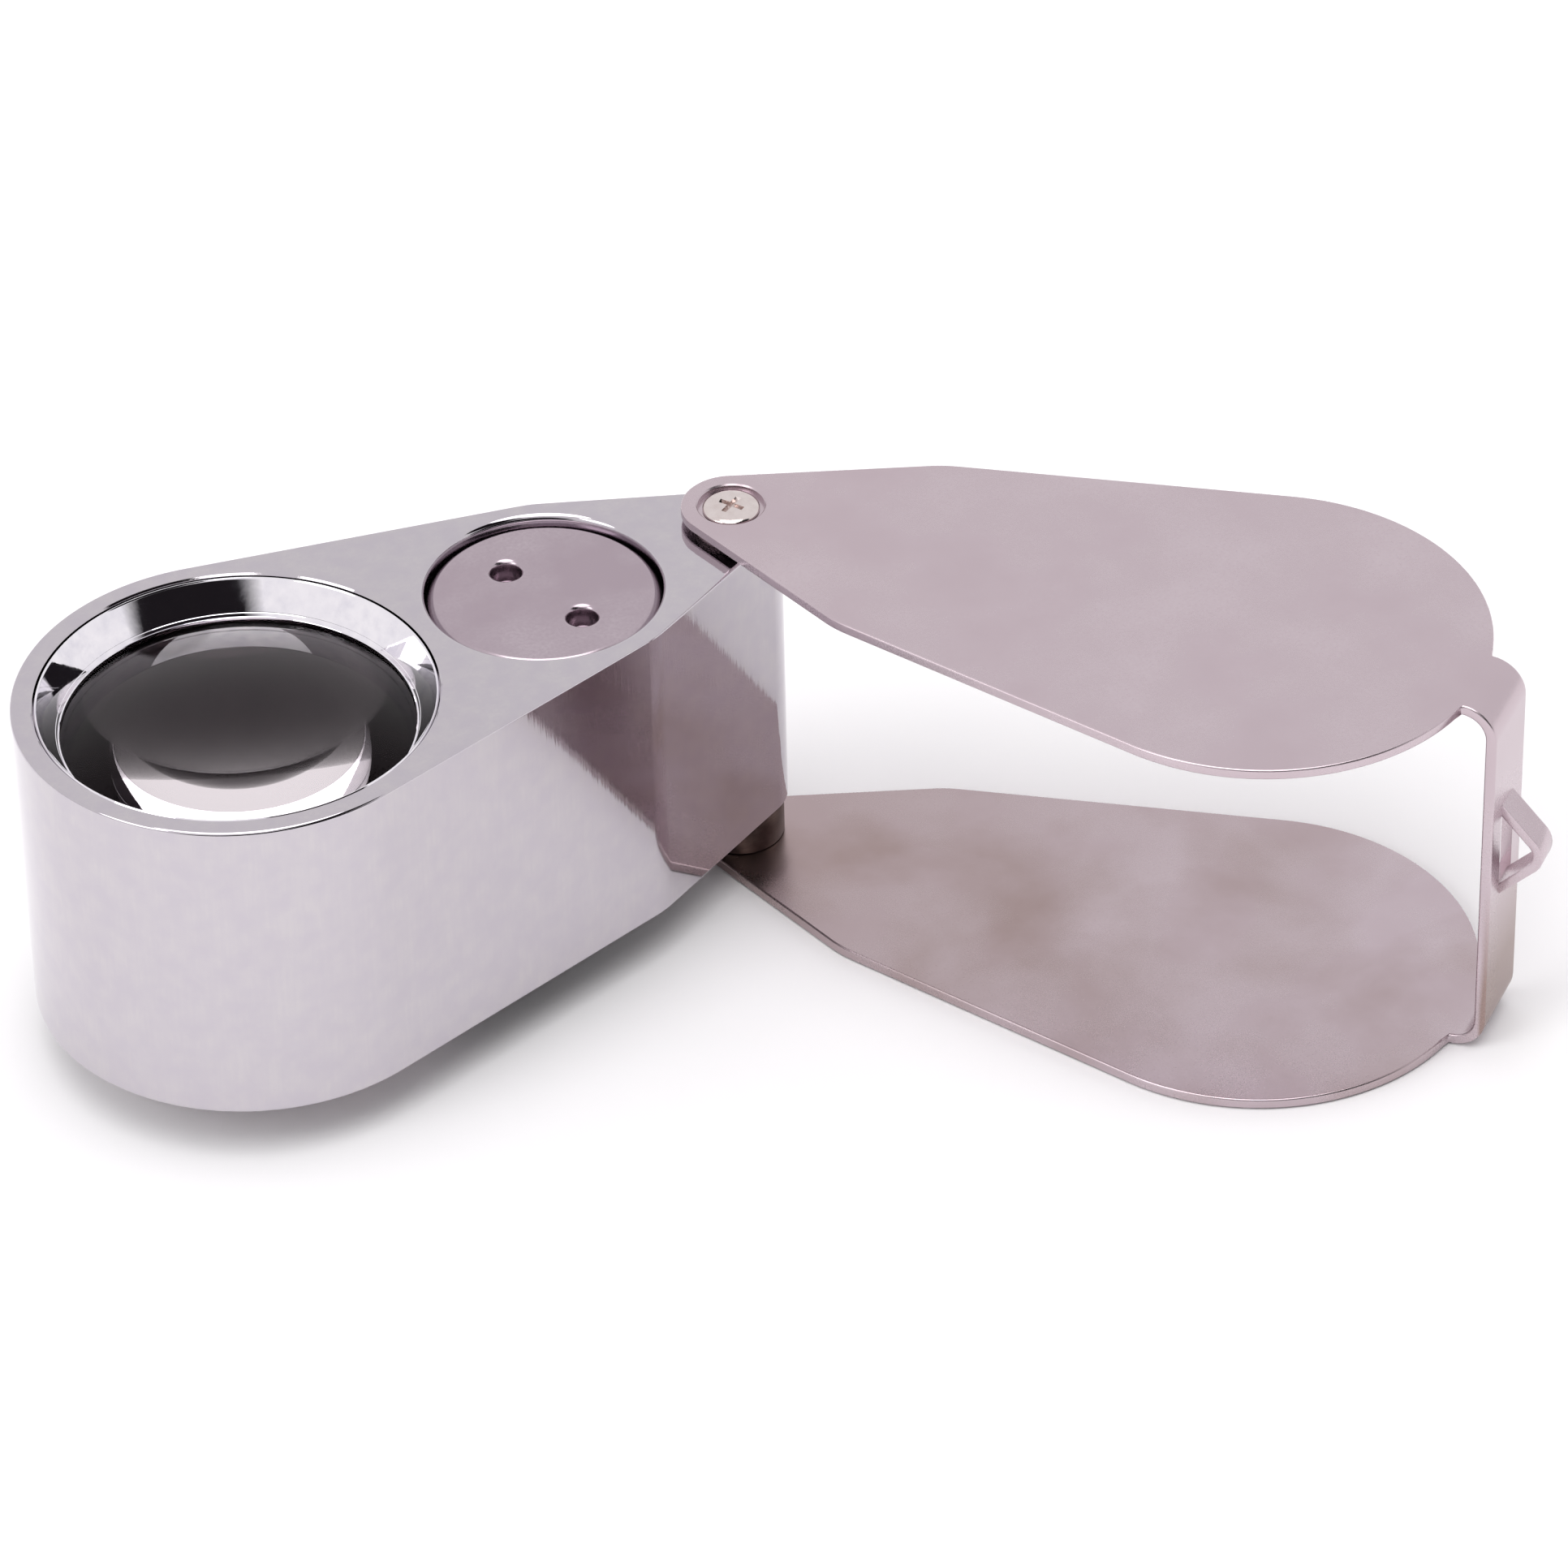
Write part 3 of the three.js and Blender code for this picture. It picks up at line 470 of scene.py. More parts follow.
def wiring_room(name, inset, low, high, start, lens_keep_out):
    """The housing's plan drawn in by an inset, from its start near the pivot to the lens."""
    piece = teardrop(name, housing_reach, housing_end, housing_bend, inset, low, high)
    place(piece, Vector((pivot_axis.x, pivot_axis.y, 0)), math.pi)
    stretch = block("stretch", (lens_axis.x + room_end, pivot_axis.y - housing_end, low - through),
                    (pivot_axis.x - start, pivot_axis.y + housing_end, high + through))
    cut(piece, stretch, operation="INTERSECT")
    keep_out = turned("keep_out", lens_axis,
                      [(lens_keep_out, low - through), (lens_keep_out, high + through)], 128)
    return cut(piece, keep_out)


def lamp_place(side):
    """Where a lamp's axis meets the top of the lamp cover, leaning towards the lens."""
    angle = side * lamp_spread
    outwards = Vector((math.cos(angle), math.sin(angle), 0))
    spot = Vector((lens_axis.x, lens_axis.y, lamp_seat)) + lamp_ring * outwards
    lean = Matrix.Rotation(-lamp_tilt, 4, Vector((0, 0, 1)).cross(-outwards))
    return Matrix.Translation(spot) @ lean @ Matrix.Rotation(angle, 4, "Z")


wiring = wiring_room("wiring", wall, housing_low.z, room_top, room_start, bore_radius + lens_wall)
post = turned("post", rear_screw, [(post_radius, housing_low.z - through),
                                   (post_radius, housing_high.z)], 48)
cut(wiring, post)
cover_recess = wiring_room("cover_recess", wall - recess_lip, housing_low.z - through, lamp_seat,
                           recess_start, tunnel_radius + recess_lip)
pocket = [(pocket_radius, -through), (pocket_radius, pocket_top)]
lamp_pockets = [settle(turned("pocket", origin, pocket, 48), lamp_place(side)) for side in (1, -1)]
bush_hole = turned("bush_hole", pivot_axis, [(bush_hole_radius, housing_low.z - through),
                                             (bush_hole_radius, housing_high.z + through)], 64)
spring_hole = turned("spring_hole", well_axis, [(spring_hole_radius, room_top - through),
                                                (spring_hole_radius, well_bottom + through)], 64)
screw_holes = [turned("screw_hole", spot, [(screw_hole_radius, housing_low.z),
                                           (screw_hole_radius, housing_low.z + screw_hole_depth)], 32)
               for spot in (front_screw, rear_screw)]
slot_half = (knob_half[0] + knob_fit, slot_depth, knob_half[2] + knob_fit)
knob_slot = block("knob_slot", (-slot_half[0] - knob_travel, -slot_half[1], -slot_half[2]),
                  (slot_half[0], slot_half[1], slot_half[2]))
round_off(knob_slot, 0.25 * mm)
settle(knob_slot, Matrix.Translation(knob_middle) @ Matrix.Rotation(-side_slope, 4, "Z"))
cut(housing, lens_bore, battery_well, wiring, cover_recess, *lamp_pockets, bush_hole, spring_hole,
    *screw_holes, knob_slot)
smooth(housing)
finish_with(housing, satin_chrome)
housing.data.materials.append(bore_black)
paint_margin = 0.01 * mm
bpy.ops.object.mode_set(mode="EDIT")
pick(housing, "faces", lambda p: (p - lens_axis).xy.length < bore_radius + paint_margin
     and p.z < lens_seat + paint_margin)
housing.active_material_index = 1
bpy.ops.object.material_slot_assign()
bpy.ops.object.mode_set(mode="OBJECT")
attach(housing, "housing")
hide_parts("housing")


# Lenses: two elements of clear coated glass with polished domes, dropped into the bore one after the
# other, with a black anodised spacer ring between them.
rim_thickness = 2 * mm
rim_width = 0.75 * mm
eye_rim_high = lens_seat - seat_fit
eye_rim_low = eye_rim_high - rim_thickness
field_rim_high = field_low.z + rim_thickness
lens_clear = lens_radius - rim_width
ground_edge = 0.15 * mm
lens_centre = 0.02 * mm
eye_top_curve = 34 * mm
eye_bottom_curve = 70 * mm
field_top_curve = 46 * mm


def dome(curve, rim, outwards, steps=36):
    """Points of a lens face from its middle to its flat rim, bulging up or down."""
    def sag(radius):
        return curve - math.sqrt(curve ** 2 - radius ** 2)
    radii = [lens_centre + (lens_clear - lens_centre) * i / steps for i in range(steps + 1)]
    return [(radius, rim + outwards * (sag(lens_clear) - sag(radius))) for radius in radii]


def lens(name, lower_face, upper_face, rim_low, rim_high):
    edge = [(lens_radius - ground_edge, rim_low), (lens_radius, rim_low + ground_edge),
            (lens_radius, rim_high - ground_edge), (lens_radius - ground_edge, rim_high)]
    return turned(name, lens_axis, lower_face + edge + upper_face[::-1], 192)


lens_glass = bpy.data.materials.new("lens_glass")
lens_glass.use_nodes = True
glass_nodes, glass_links = lens_glass.node_tree.nodes, lens_glass.node_tree.links
glass_shader = glass_nodes["Principled BSDF"]
glass_shader.inputs["Base Color"].default_value = (0.86, 0.80, 0.82, 1)
glass_shader.inputs["Specular Tint"].default_value = (0.10, 0.045, 0.07, 1)
glass_shader.inputs["Transmission Weight"].default_value = 1
glass_shader.inputs["IOR"].default_value = 1.52
glass_place = glass_nodes.new("ShaderNodeTexCoord")
smears = glass_nodes.new("ShaderNodeTexNoise")
smears.inputs["Scale"].default_value = 260
smears.inputs["Detail"].default_value = 5
smears.inputs["Distortion"].default_value = 1.5
smear_amount = glass_nodes.new("ShaderNodeMapRange")
smear_amount.inputs["From Min"].default_value = 0.45
smear_amount.inputs["From Max"].default_value = 0.8
smear_amount.inputs["To Min"].default_value = 0.0
smear_amount.inputs["To Max"].default_value = 0.008
glass_links.new(glass_place.outputs["Object"], smears.inputs["Vector"])
glass_links.new(smears.outputs["Fac"], smear_amount.inputs["Value"])
glass_links.new(smear_amount.outputs["Result"], glass_shader.inputs["Roughness"])

field_lens = lens("field_lens_glass", [(lens_centre, field_low.z), (lens_clear, field_low.z)],
                  dome(field_top_curve, field_rim_high, 1), field_low.z, field_rim_high)
eye_lens = lens("eye_lens_glass", dome(eye_bottom_curve, eye_rim_low, -1),
                dome(eye_top_curve, eye_rim_high, 1), eye_rim_low, eye_rim_high)
for glass, node in ((field_lens, "field_lens"), (eye_lens, "eye_lens")):
    smooth(glass, 20)
    finish_with(glass, lens_glass)
    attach(glass, "housing")
    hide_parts(node)

spacer_low, spacer_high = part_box("lens_spacer_ring")
black_anodised = metal("black_anodised", (0.02, 0.019, 0.021, 1), (0.03, 0.028, 0.03, 1), 0.28, 0.15,
                       (900, 900, 9000), 600, 0.25)
aperture = lens_radius - 0.7 * mm
spacer_ring = turned("spacer_ring", lens_axis, [
    (aperture, spacer_low.z), (lens_radius, spacer_low.z), (lens_radius, spacer_high.z),
    (aperture, spacer_high.z), (aperture, spacer_low.z)], 160)
round_off(spacer_ring, 0.1 * mm, 2)
smooth(spacer_ring)
finish_with(spacer_ring, black_anodised)
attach(spacer_ring, "housing")
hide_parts("lens_spacer_ring")


# Retaining ring: turned brass with a polished cone, chrome plated like a mirror and screwed down on
# the eye lens. Its foot keeps the last turns of the cutting tool.
ring_radius = ring_high.x - lens_axis.x
ring_edge = 0.08 * mm
ring_lip = 0.04 * mm
cone_top = ring_radius - 0.16 * mm
cone_foot = aperture + 0.1 * mm
foot_high = ring_low.z + 0.35 * mm
tool_mark = 0.03 * mm
mark_high = foot_high + 0.25 * mm
bright_chrome = metal("bright_chrome", (0.93, 0.905, 0.94, 1), (0.80, 0.78, 0.84, 1), 0.02, 0.06,
                      (700, 700, 300), 900, 0.35)
cone_slope = (cone_top - cone_foot) / (ring_high.z - foot_high)


def on_cone(height, depth=0.0):
    """A point of the cone's outline, or one sunk into its face."""
    return (cone_foot + cone_slope * (height - foot_high) + depth, height)


retaining_ring = turned("retaining_ring", lens_axis, [
    (aperture, ring_low.z), (ring_radius, ring_low.z), (ring_radius, ring_high.z - ring_edge),
    (ring_radius - ring_edge, ring_high.z), (cone_top + 0.03 * mm, ring_high.z),
    (cone_top - 0.01 * mm, ring_high.z - ring_lip), on_cone(ring_high.z - 0.1 * mm),
    on_cone(mark_high + 0.05 * mm), on_cone(mark_high + 0.02 * mm, tool_mark),
    on_cone(mark_high - 0.02 * mm, tool_mark), on_cone(mark_high - 0.05 * mm),
    (cone_foot, foot_high), (aperture + ring_lip, foot_high), (aperture, foot_high - ring_lip),
    (aperture, ring_low.z)], 224)
smooth(retaining_ring, 24)
finish_with(retaining_ring, bright_chrome)
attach(retaining_ring, "housing")
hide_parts("lens_retaining_ring")


# Lamp circuit: a green board with a resistor, a bronze strip that takes the battery's return and a
# small slide switch, all held in the wiring room.
green_board = painted("green_board", (0.02, 0.10, 0.045, 1), (0.03, 0.14, 0.06, 1), 0.4, 0.2,
                      (2500, 2500, 2500), 500, 0.3)
resistor_body = painted("resistor_body", (0.16, 0.27, 0.36, 1), (0.2, 0.32, 0.42, 1), 0.35, 0.2,
                        (3000, 3000, 3000), 900, 0.2)
spring_bronze = metal("spring_bronze", (0.62, 0.42, 0.20, 1), (0.55, 0.36, 0.18, 1), 0.22, 0.2,
                      (1200, 1200, 6000), 700, 0.2)
black_plastic = painted("black_plastic", (0.016, 0.016, 0.018, 1), (0.026, 0.026, 0.028, 1), 0.42, 0.25,
                        (5000, 5000, 5000), 800, 0.6)
cell_steel = metal("cell_steel", (0.62, 0.62, 0.63, 1), (0.56, 0.56, 0.58, 1), 0.22, 0.2,
                   (5000, 500, 5000), 500, 0.2)
turned_brass = metal("turned_brass", (0.72, 0.52, 0.24, 1), (0.62, 0.43, 0.2, 1), 0.2, 0.2,
                     (900, 900, 9000), 500, 0.3)


def refinish(node, material):
    """Gives a kept node of the frame its finish in every slot."""
    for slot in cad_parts[node].material_slots:
        slot.material = material


refinish("circuit_board", green_board)
refinish("resistor", resistor_body)
refinish("body_contact", spring_bronze)
refinish("switch_body", black_plastic)

knob = block("knob", (-knob_half[0], -knob_half[1], -knob_half[2]), knob_half)
groove_pitch = 0.6 * mm
groove_radius = 0.2 * mm
groove_out = knob_half[1] + 0.06 * mm
for number in (-1, 0, 1):
    groove = turned("groove", Vector((number * groove_pitch, groove_out, 0)),
                    [(groove_radius, -through), (groove_radius, through)], 24)
    cut(knob, groove)
round_off(knob, 0.05 * mm, 2, 50)
settle(knob, Matrix.Translation(knob_middle) @ Matrix.Rotation(-side_slope, 4, "Z"))
smooth(knob)
finish_with(knob, black_plastic)
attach(knob, "switch")
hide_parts("switch_knob")


# Lamps: two clear 3 mm light diodes with moulded domes and flanges. Inside each, a bright cup holds
# the yellow die on one of its leads.
lamp_radius = 1.5 * mm
flange_radius = 1.9 * mm
flange_low = 0.4 * mm
flange_high = 1.4 * mm
lamp_tip = -3.5 * mm
lead_radius = 0.25 * mm
lead_offset = 0.65 * mm
lead_end = 0.6 * mm
lead_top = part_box("circuit_board")[1].z + lead_end - lamp_seat
die_half = 0.16 * mm
die_low = -0.32 * mm
die_high = -0.12 * mm
lamp_clear = bpy.data.materials.new("lamp_clear")
lamp_clear.use_nodes = True
clear_nodes, clear_links = lamp_clear.node_tree.nodes, lamp_clear.node_tree.links
clear_shader = clear_nodes["Principled BSDF"]
clear_shader.inputs["Base Color"].default_value = (0.96, 0.97, 0.98, 1)
clear_shader.inputs["Transmission Weight"].default_value = 1
clear_shader.inputs["IOR"].default_value = 1.5
clear_place = clear_nodes.new("ShaderNodeTexCoord")
moulding = clear_nodes.new("ShaderNodeTexNoise")
moulding.inputs["Scale"].default_value = 700
haze = clear_nodes.new("ShaderNodeMapRange")
haze.inputs["To Max"].default_value = 0.12
clear_links.new(clear_place.outputs["Object"], moulding.inputs["Vector"])
clear_links.new(moulding.outputs["Fac"], haze.inputs["Value"])
clear_links.new(haze.outputs["Result"], clear_shader.inputs["Roughness"])
die_glow = painted("die", (0.75, 0.62, 0.12, 1), (0.8, 0.7, 0.2, 1), 0.5, 0.2, (4000, 4000, 4000),
                   900, 0.2)

for name, side in (("left_lamp", 1), ("right_lamp", -1)):
    round_end = [(lamp_radius * math.sin(math.radians(angle)),
                  lamp_tip + lamp_radius - lamp_radius * math.cos(math.radians(angle)))
                 for angle in range(2, 91, 8)]
    lamp = turned(name + "_dome", origin, round_end + [
        (lamp_radius, flange_low), (flange_radius, flange_low), (flange_radius, flange_high),
        (lamp_radius, flange_high)], 64)
    for lead_side in (1, -1):
        lead = turned("lead", Vector((0, lead_side * lead_offset, 0)),
                      [(lead_radius, flange_high - lead_radius), (lead_radius, lead_top)], 20)
        cut(lamp, lead, operation="UNION")
    settle(lamp, lamp_place(side))
    smooth(lamp)
    finish_with(lamp, lamp_clear)
    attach(lamp, "housing")
    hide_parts(name)
    cup = turned(name + "_cup", origin, [
        (0.55 * mm, -0.6 * mm), (0.62 * mm, -0.6 * mm), (0.35 * mm, 0.1 * mm), (0.3 * mm, 0.9 * mm),
        (0.1 * mm, 0.9 * mm), (0.1 * mm, -0.1 * mm), (0.3 * mm, die_high), (0.55 * mm, -0.6 * mm)], 40)
    settle(cup, lamp_place(side))
    smooth(cup)
    finish_with(cup, cell_steel)
    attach(cup, "housing")
    die = block(name + "_die", (-die_half, -die_half, die_low), (die_half, die_half, die_high))
    round_off(die, 0.05 * mm, 2)
    settle(die, lamp_place(side))
    smooth(die)
    finish_with(die, die_glow)
    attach(die, "housing")


# Lamp cover: a moulded black plate that closes the wiring room from below, with a hole for each lamp
# and two sunk screws.
plate_fit = 0.15 * mm
lamp_hole_radius = 1.8 * mm
lamp_hole_low = -3 * mm
head_hole_radius = 1.75 * mm
shank_hole_radius = 0.95 * mm
lamp_cover = wiring_room("lamp_cover_plate", wall - recess_lip + plate_fit, housing_low.z,
                         lamp_seat - seat_fit, recess_start + plate_fit,
                         tunnel_radius + recess_lip + plate_fit)
head_seat = housing_low.z + 0.7 * mm
cover_screw_places = (("lamp_cover_screw_front", front_screw), ("lamp_cover_screw_rear", rear_screw))
for side in (1, -1):
    hole = turned("hole", origin, [(lamp_hole_radius, lamp_hole_low), (lamp_hole_radius, through)], 64)
    cut(lamp_cover, settle(hole, lamp_place(side)))
for name, spot in cover_screw_places:
    cut(lamp_cover, turned("hole", spot, [
        (head_hole_radius, housing_low.z - through), (head_hole_radius, head_seat),
        (shank_hole_radius, head_seat), (shank_hole_radius, lamp_seat + through)], 48))
round_off(lamp_cover, 0.12 * mm, 3)
smooth(lamp_cover)
finish_with(lamp_cover, black_plastic)
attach(lamp_cover, "housing")
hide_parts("lamp_cover")

polished_nickel = metal("polished_nickel", (0.74, 0.67, 0.65, 1), (0.66, 0.58, 0.56, 1), 0.10, 0.16,
                        (2600, 2600, 2600), 1100, 0.30)


def cross_slot(face, length, width, depth):
    """Two tapered bars that sink into a screw head lying face down at the given height."""
    taper = (0.62, 0.5, 1)
    bars = []
    for turn in (0, math.pi / 2):
        bar = block("bar", (-length / 2, -width / 2, face - depth), (length / 2, width / 2, face + depth))
        bpy.ops.object.mode_set(mode="EDIT")
        pick(bar, "faces", lambda p: p.z > face)
        bpy.ops.transform.resize(value=taper, center_override=(0, 0, face))
        bpy.ops.object.mode_set(mode="OBJECT")
        bars.append(place(bar, origin, turn))
    return bars


small_head = 1.6 * mm
small_shank = 0.75 * mm
small_length = 4 * mm
head_centre = 0.05 * mm
for name, spot in cover_screw_places:
    screw = turned(name + "_steel", origin, [
        (head_centre, housing_low.z), (small_head - 0.18 * mm, housing_low.z + 0.02 * mm),
        (small_head - 0.05 * mm, housing_low.z + 0.07 * mm), (small_head, housing_low.z + 0.18 * mm),
        (small_head, head_seat - seat_fit), (small_shank, head_seat - seat_fit),
        (small_shank, housing_low.z + small_length - 0.2 * mm),
        (small_shank - 0.2 * mm, housing_low.z + small_length)], 64)
    cut(screw, *cross_slot(housing_low.z, 1.9 * mm, 0.4 * mm, 0.4 * mm))
    place(screw, spot)
    smooth(screw)
    finish_with(screw, polished_nickel)
    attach(screw, "housing")
    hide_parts(name)


# Battery: two coin cells in a plastic cup on a coned spring, shut in by a nickel-plated cap that turns
# with a two-pin spanner.
refinish("cell_spring", spring_bronze)
refinish("cell_cup", black_plastic)
cell_step = 1.1 * mm
button_height = 0.35 * mm
for node in ("lower_coin_cell", "upper_coin_cell"):
    cell_low, cell_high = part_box(node)
    cell_radius = cell_high.x - well_axis.x
    cell = turned(node + "_can", well_axis, [
        (cell_radius - cell_step, cell_low.z), (cell_radius - cell_step, cell_low.z + button_height),
        (cell_radius, cell_low.z + button_height), (cell_radius, cell_high.z),
        (cell_radius - 0.3 * mm, cell_high.z)], 128)
    round_off(cell, 0.12 * mm, 3)
    smooth(cell)
    finish_with(cell, cell_steel)
    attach(cell, "housing")
    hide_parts(node)

cap_nickel = metal("cap_nickel", (0.43, 0.355, 0.40, 1), (0.50, 0.43, 0.47, 1), 0.20, 0.06,
                   (3800, 3800, 3800), 160, 0.10)
cap_radius = cap_high.x - well_axis.x
cap_bevel = 0.6 * mm
spanner_pitch = 7.8 * mm
spanner_turn = math.radians(105)
spanner_way = Vector((math.cos(spanner_turn), math.sin(spanner_turn), 0))
hole_radius = 1.1 * mm
hole_flare = 0.5 * mm
cap_edge = [(cap_radius, cap_low.z), (cap_radius, cap_high.z - cap_bevel),
            (cap_radius - 0.1 * mm, cap_high.z - cap_bevel + 0.2 * mm),
            (cap_radius - cap_bevel + 0.12 * mm, cap_high.z - 0.04 * mm),
            (cap_radius - cap_bevel, cap_high.z)]
battery_cap = turned("battery_cap_disc", well_axis, cap_edge, 192)
for side in (1, -1):
    spot = well_axis + side * spanner_pitch / 2 * spanner_way
    cut(battery_cap, turned("spanner_hole", spot, [
        (0.2 * mm, cap_high.z - 2.0 * mm), (hole_radius, cap_high.z - 1.75 * mm),
        (hole_radius, cap_high.z - 0.34 * mm), (hole_radius + 0.07 * mm, cap_high.z - 0.19 * mm),
        (hole_radius + 0.24 * mm, cap_high.z - 0.07 * mm), (hole_radius + hole_flare, cap_high.z),
        (hole_radius + hole_flare + through, cap_high.z + through)], 64))
smooth(battery_cap)
finish_with(battery_cap, cap_nickel)
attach(battery_cap, "housing")
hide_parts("battery_cap")


# Pivot: a brass bush in the housing, a washer and a spacer that keep the plates off it, and a
# shouldered screw from each side whose head lies sunk in the cover.
dark_steel = metal("dark_steel", (0.11, 0.085, 0.075, 1), (0.20, 0.16, 0.14, 1), 0.30, 0.2,
                   (900, 900, 7000), 700, 0.3)
bush_bore = 0.98 * mm
shoulder_hole = 1.38 * mm
pivot_rings = (("pivot_bush", "brass_bush", bush_bore, turned_brass, "turned_brass"),
               ("upper_washer", "nickel_washer", shoulder_hole, polished_nickel, "polished_nickel"),
               ("lower_spacer", "steel_spacer", shoulder_hole, dark_steel, "dark_steel"))
for node, name, inner, material, finish in pivot_rings:
    low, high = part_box(node)
    outer = high.x - pivot_axis.x
    ring = turned(name, pivot_axis, [(inner, low.z), (outer, low.z), (outer, high.z), (inner, high.z),
                                     (inner, low.z)], 128)
    round_off(ring, 0.08 * mm, 2)
    smooth(ring)
    finish_with(ring, material)
    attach(ring, "housing")
    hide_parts(node)

cover_low, cover_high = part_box("swing_cover")
screw_head = 2.05 * mm
head_depth = 0.40 * mm
shoulder_radius = 1.3 * mm
thread_radius = 0.9 * mm
thread_length = 7 * mm
screw_turn = math.radians(62)
pivot_screws = (("lower_pivot_screw", housing_low.z - cover_low.z, cover_low.z, 1),
                ("upper_pivot_screw", cover_high.z - housing_high.z, cover_high.z, -1))
for node, shoulder_end, face, way in pivot_screws:
    screw = turned(node + "_steel", origin, [
        (head_centre, 0), (1.2 * mm, 0.02 * mm), (screw_head - 0.3 * mm, 0.07 * mm),
        (screw_head - 0.1 * mm, 0.14 * mm), (screw_head, 0.26 * mm), (screw_head, head_depth),
        (shoulder_radius, head_depth), (shoulder_radius, shoulder_end), (thread_radius, shoulder_end),
        (thread_radius, shoulder_end + thread_length)], 96)
    cut(screw, *cross_slot(0, 2.5 * mm, 0.55 * mm, 0.38 * mm))
    flip = Matrix.Identity(4) if way > 0 else Matrix.Rotation(math.pi, 4, "X")
    spot = Vector((pivot_axis.x, pivot_axis.y, face))
    settle(screw, Matrix.Translation(spot) @ flip @ Matrix.Rotation(screw_turn, 4, "Z"))
    smooth(screw)
    finish_with(screw, polished_nickel)
    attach(screw, "housing")
    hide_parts(node)


# Swing cover: one strip of spring steel stamped to two teardrop plates and bent into a U, its edges
# tumbled round and its faces nickel plated. The lanyard loop is sheared out of the strip.
cover_turn = math.radians(-53.4)
cover_plan = (40.4 * mm, 16.2 * mm, (12.25 * mm, 10.15 * mm))
sheet = 0.8 * mm
strip_half = 3.2 * mm
strip_outside = 58.95 * mm
strip_bend = 2.6 * mm
sheet_round = 0.15 * mm
recess_radius = 2.42 * mm
recess_rim = 0.1 * mm
recess_depth = 0.45 * mm
half_height = (cover_high.z - cover_low.z) / 2
corner = strip_outside - strip_bend

cover_nickel = metal("cover_nickel", (0.55, 0.46, 0.495, 1), (0.60, 0.515, 0.55, 1), 0.26, 0.05,
                     (5200, 5200, 5200), 110, 0.10)
# Brown tarnish with painted shade: random stains of real tarnish, plus painted shade near the pivot and on
# the outside of the strip for the dark reflections there, all strongest low down.
tarnish_and_shade_brown = (0.34, 0.25, 0.23, 1)
tarnish_and_shade_top = 15 * mm
nickel_nodes, nickel_links = cover_nickel.node_tree.nodes, cover_nickel.node_tree.links
nickel_surface = nickel_nodes["Group"]
nickel_place = nickel_nodes.new("ShaderNodeTexCoord")
height_in_nickel = nickel_nodes.new("ShaderNodeSeparateXYZ")
lower_down = nickel_nodes.new("ShaderNodeMapRange")
lower_down.inputs["From Min"].default_value = tarnish_and_shade_top
lower_down.inputs["From Max"].default_value = 0
in_plan = nickel_nodes.new("ShaderNodeVectorMath")
in_plan.operation = "MULTIPLY"
in_plan.inputs[1].default_value = (1, 1, 0)
from_pivot = nickel_nodes.new("ShaderNodeVectorMath")
from_pivot.operation = "DISTANCE"
from_pivot.inputs[1].default_value = (pivot_axis.x, pivot_axis.y, 0)
# Painted shade near the pivot: brown that stands in for the upper plate's dark underside reflected in the
# lower plate.
near_pivot = nickel_nodes.new("ShaderNodeMapRange")
near_pivot.inputs["From Min"].default_value = 42 * mm
near_pivot.inputs["From Max"].default_value = 6 * mm
stains = nickel_nodes.new("ShaderNodeTexNoise")
stains.inputs["Scale"].default_value = 75
stains.inputs["Detail"].default_value = 6
stains.inputs["Distortion"].default_value = 0.2
stain_shape = nickel_nodes.new("ShaderNodeMapRange")
stain_shape.inputs["From Min"].default_value = 0.42
stain_shape.inputs["From Max"].default_value = 0.75
stain_shape.inputs["To Max"].default_value = 0.55
# Painted shade on the outside of the strip: brown that stands in for the shadow on the floor that the strip
# reflects.
on_strip = nickel_nodes.new("ShaderNodeMapRange")
on_strip.inputs["From Min"].default_value = strip_outside - 0.45 * mm
on_strip.inputs["From Max"].default_value = strip_outside - 0.05 * mm
on_strip.inputs["To Max"].default_value = 3.0
# The painted shade zones join the random tarnish stains here, and the sum is kept to the lower parts of the
# cover.
tarnish_and_shade_zones = nickel_nodes.new("ShaderNodeMath")
tarnish_and_shade_zones.operation = "MAXIMUM"
stain_and_shade_sum = nickel_nodes.new("ShaderNodeMath")
stain_and_shade_sum.operation = "MULTIPLY_ADD"
stain_and_shade_sum.inputs[1].default_value = 0.55
tarnish_and_shade = nickel_nodes.new("ShaderNodeMath")
tarnish_and_shade.operation = "MULTIPLY"
tarnished_and_shaded = nickel_nodes.new("ShaderNodeMix")
tarnished_and_shaded.data_type = "RGBA"
tarnished_and_shaded.inputs["B"].default_value = tarnish_and_shade_brown
nickel_links.new(nickel_place.outputs["Object"], height_in_nickel.inputs["Vector"])
nickel_links.new(nickel_place.outputs["Object"], in_plan.inputs[0])
nickel_links.new(in_plan.outputs["Vector"], from_pivot.inputs[0])
nickel_links.new(nickel_place.outputs["Object"], stains.inputs["Vector"])
nickel_links.new(height_in_nickel.outputs["Z"], lower_down.inputs["Value"])
nickel_links.new(from_pivot.outputs["Value"], near_pivot.inputs["Value"])
nickel_links.new(stains.outputs["Fac"], stain_shape.inputs["Value"])
nickel_links.new(from_pivot.outputs["Value"], on_strip.inputs["Value"])
nickel_links.new(near_pivot.outputs["Result"], tarnish_and_shade_zones.inputs[0])
nickel_links.new(on_strip.outputs["Result"], tarnish_and_shade_zones.inputs[1])
nickel_links.new(tarnish_and_shade_zones.outputs["Value"], stain_and_shade_sum.inputs[0])
nickel_links.new(stain_shape.outputs["Result"], stain_and_shade_sum.inputs[2])
nickel_links.new(stain_and_shade_sum.outputs["Value"], tarnish_and_shade.inputs[0])
nickel_links.new(lower_down.outputs["Result"], tarnish_and_shade.inputs[1])
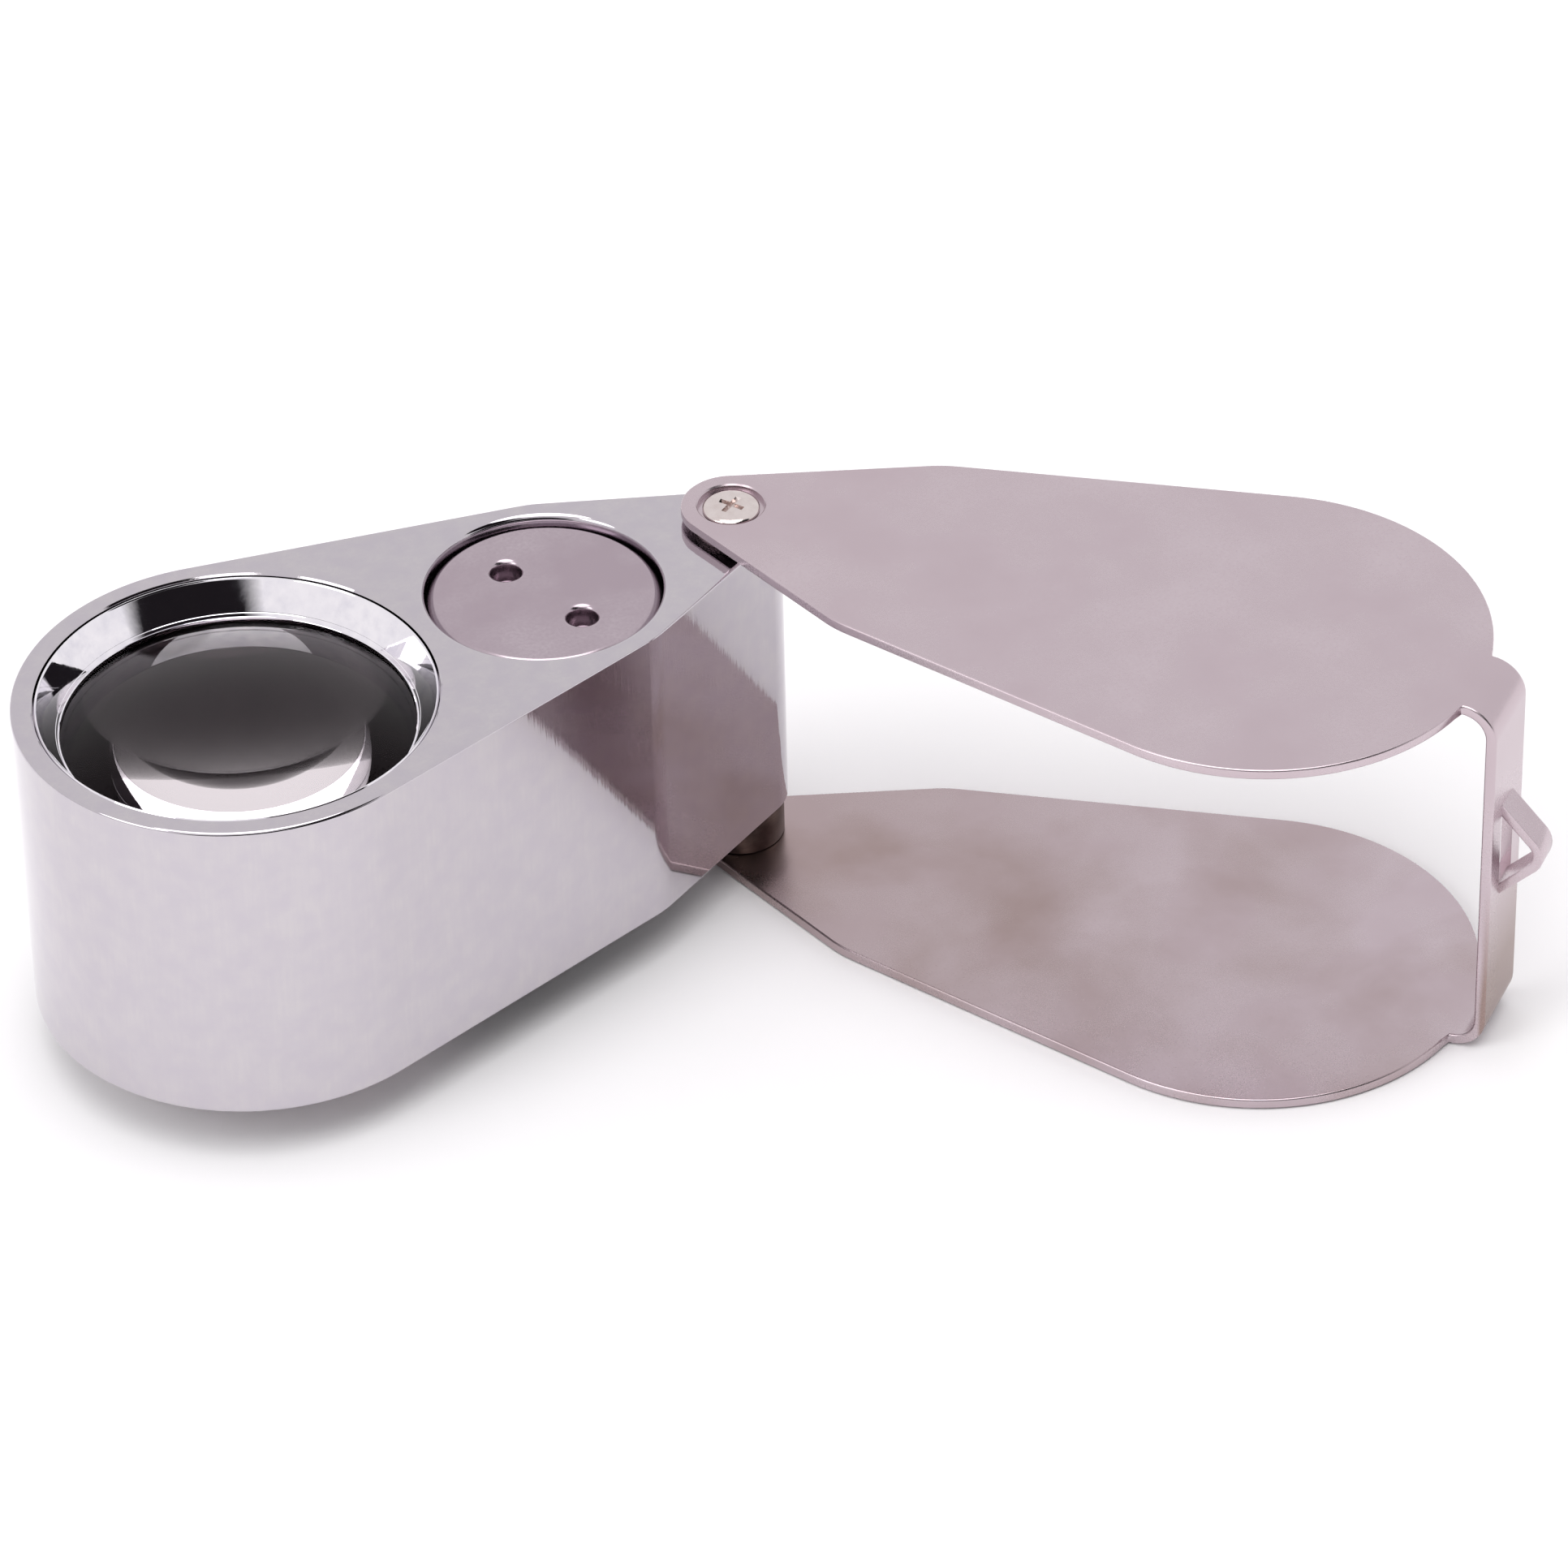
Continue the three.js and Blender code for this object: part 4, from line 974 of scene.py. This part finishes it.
nickel_links.new(tarnish_and_shade.outputs["Value"], tarnished_and_shaded.inputs["Factor"])
nickel_links.new(nickel_surface.outputs["Color"], tarnished_and_shaded.inputs["A"])
nickel_links.new(tarnished_and_shaded.outputs["Result"], nickel_nodes["Principled BSDF"].inputs["Base Color"])

cover = teardrop("folded_cover", *cover_plan, 0, -half_height, sheet - half_height)
bpy.ops.object.mode_set(mode="EDIT")
plate_end = cover_plan[0] + cover_plan[1]
pick(cover, "faces", lambda p: p.x > plate_end - 1 * mm and abs(p.y) < strip_half + tolerance)
bpy.ops.transform.resize(value=(0, 1, 1), center_override=(corner, 0, 0))
bpy.ops.mesh.spin(steps=10, angle=math.pi / 2, center=(corner, 0, strip_bend - half_height), axis=(0, 1, 0))
bpy.ops.mesh.extrude_region_move()
bpy.ops.transform.resize(value=(1, 1, 0), center_override=(0, 0, 0))
bpy.ops.mesh.delete(type="ONLY_FACE")
bpy.ops.object.mode_set(mode="OBJECT")
select_only(cover)
other_half = cover.modifiers.new("other_half", "MIRROR")
other_half.use_axis = (False, False, True)
other_half.merge_threshold = tolerance
bpy.ops.object.modifier_apply(modifier=other_half.name)
face_outwards(cover)
round_off(cover, sheet_round, 3, 50)

loop_middle = 1.7 * mm
loop_rise = 3.85 * mm
loop_proud = 3.08 * mm
loop_half = 1.15 * mm
loop_radius = 1.9 * mm
loop_strap = 0.75 * mm
window_half = loop_half + 0.15 * mm
window = block("window", (strip_outside - 2 * sheet, -window_half, loop_middle - loop_rise + sheet),
               (strip_outside + through, window_half, loop_middle + loop_rise - sheet))
lower_recess = [(recess_radius + recess_rim + through, -half_height - through),
                (recess_radius + recess_rim, -half_height), (recess_radius, recess_rim - half_height),
                (recess_radius, recess_depth - half_height), (shoulder_hole, recess_depth - half_height)]
upper_recess = [(radius, -height) for radius, height in reversed(lower_recess)]
pivot_cut = turned("pivot_cut", origin, lower_recess + upper_recess, 96)
cut(cover, window, pivot_cut)

loop_apex = Vector((strip_outside + loop_proud - loop_radius, 0, loop_middle))
loop_turn = math.pi / 2 - math.atan2(loop_rise, loop_proud) + 0.2
strap_low = loop_radius - loop_strap
strap_start = 0.01 * mm
strap = block("strap", (loop_apex.x + strap_low, -loop_half, loop_apex.z),
              (loop_apex.x + loop_radius, loop_half, loop_apex.z + strap_start))
bpy.ops.object.mode_set(mode="EDIT")
for way, end in ((1, loop_apex.z + strap_start), (-1, loop_apex.z)):
    pick(strap, "faces", lambda p: abs(p.z - end) < tolerance)
    bpy.ops.mesh.spin(steps=8, angle=way * loop_turn, center=loop_apex, axis=(0, 1, 0))
    bpy.ops.mesh.extrude_region_move()
    foot = Vector((strip_outside - sheet / 2, 0, loop_apex.z + way * loop_rise))
    leg_end = loop_apex + (loop_radius - loop_strap / 2) * Vector((math.cos(loop_turn), 0,
                                                                   way * math.sin(loop_turn)))
    bpy.ops.transform.translate(value=foot - leg_end)
bpy.ops.object.mode_set(mode="OBJECT")
face_outwards(strap)
round_off(strap, 0.14 * mm, 2, 40)
cut(cover, strap, operation="UNION")
place(cover, Vector((pivot_axis.x, pivot_axis.y, (cover_low.z + cover_high.z) / 2)), cover_turn)
smooth(cover)
finish_with(cover, cover_nickel)
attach(cover, "cover")
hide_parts("swing_cover")
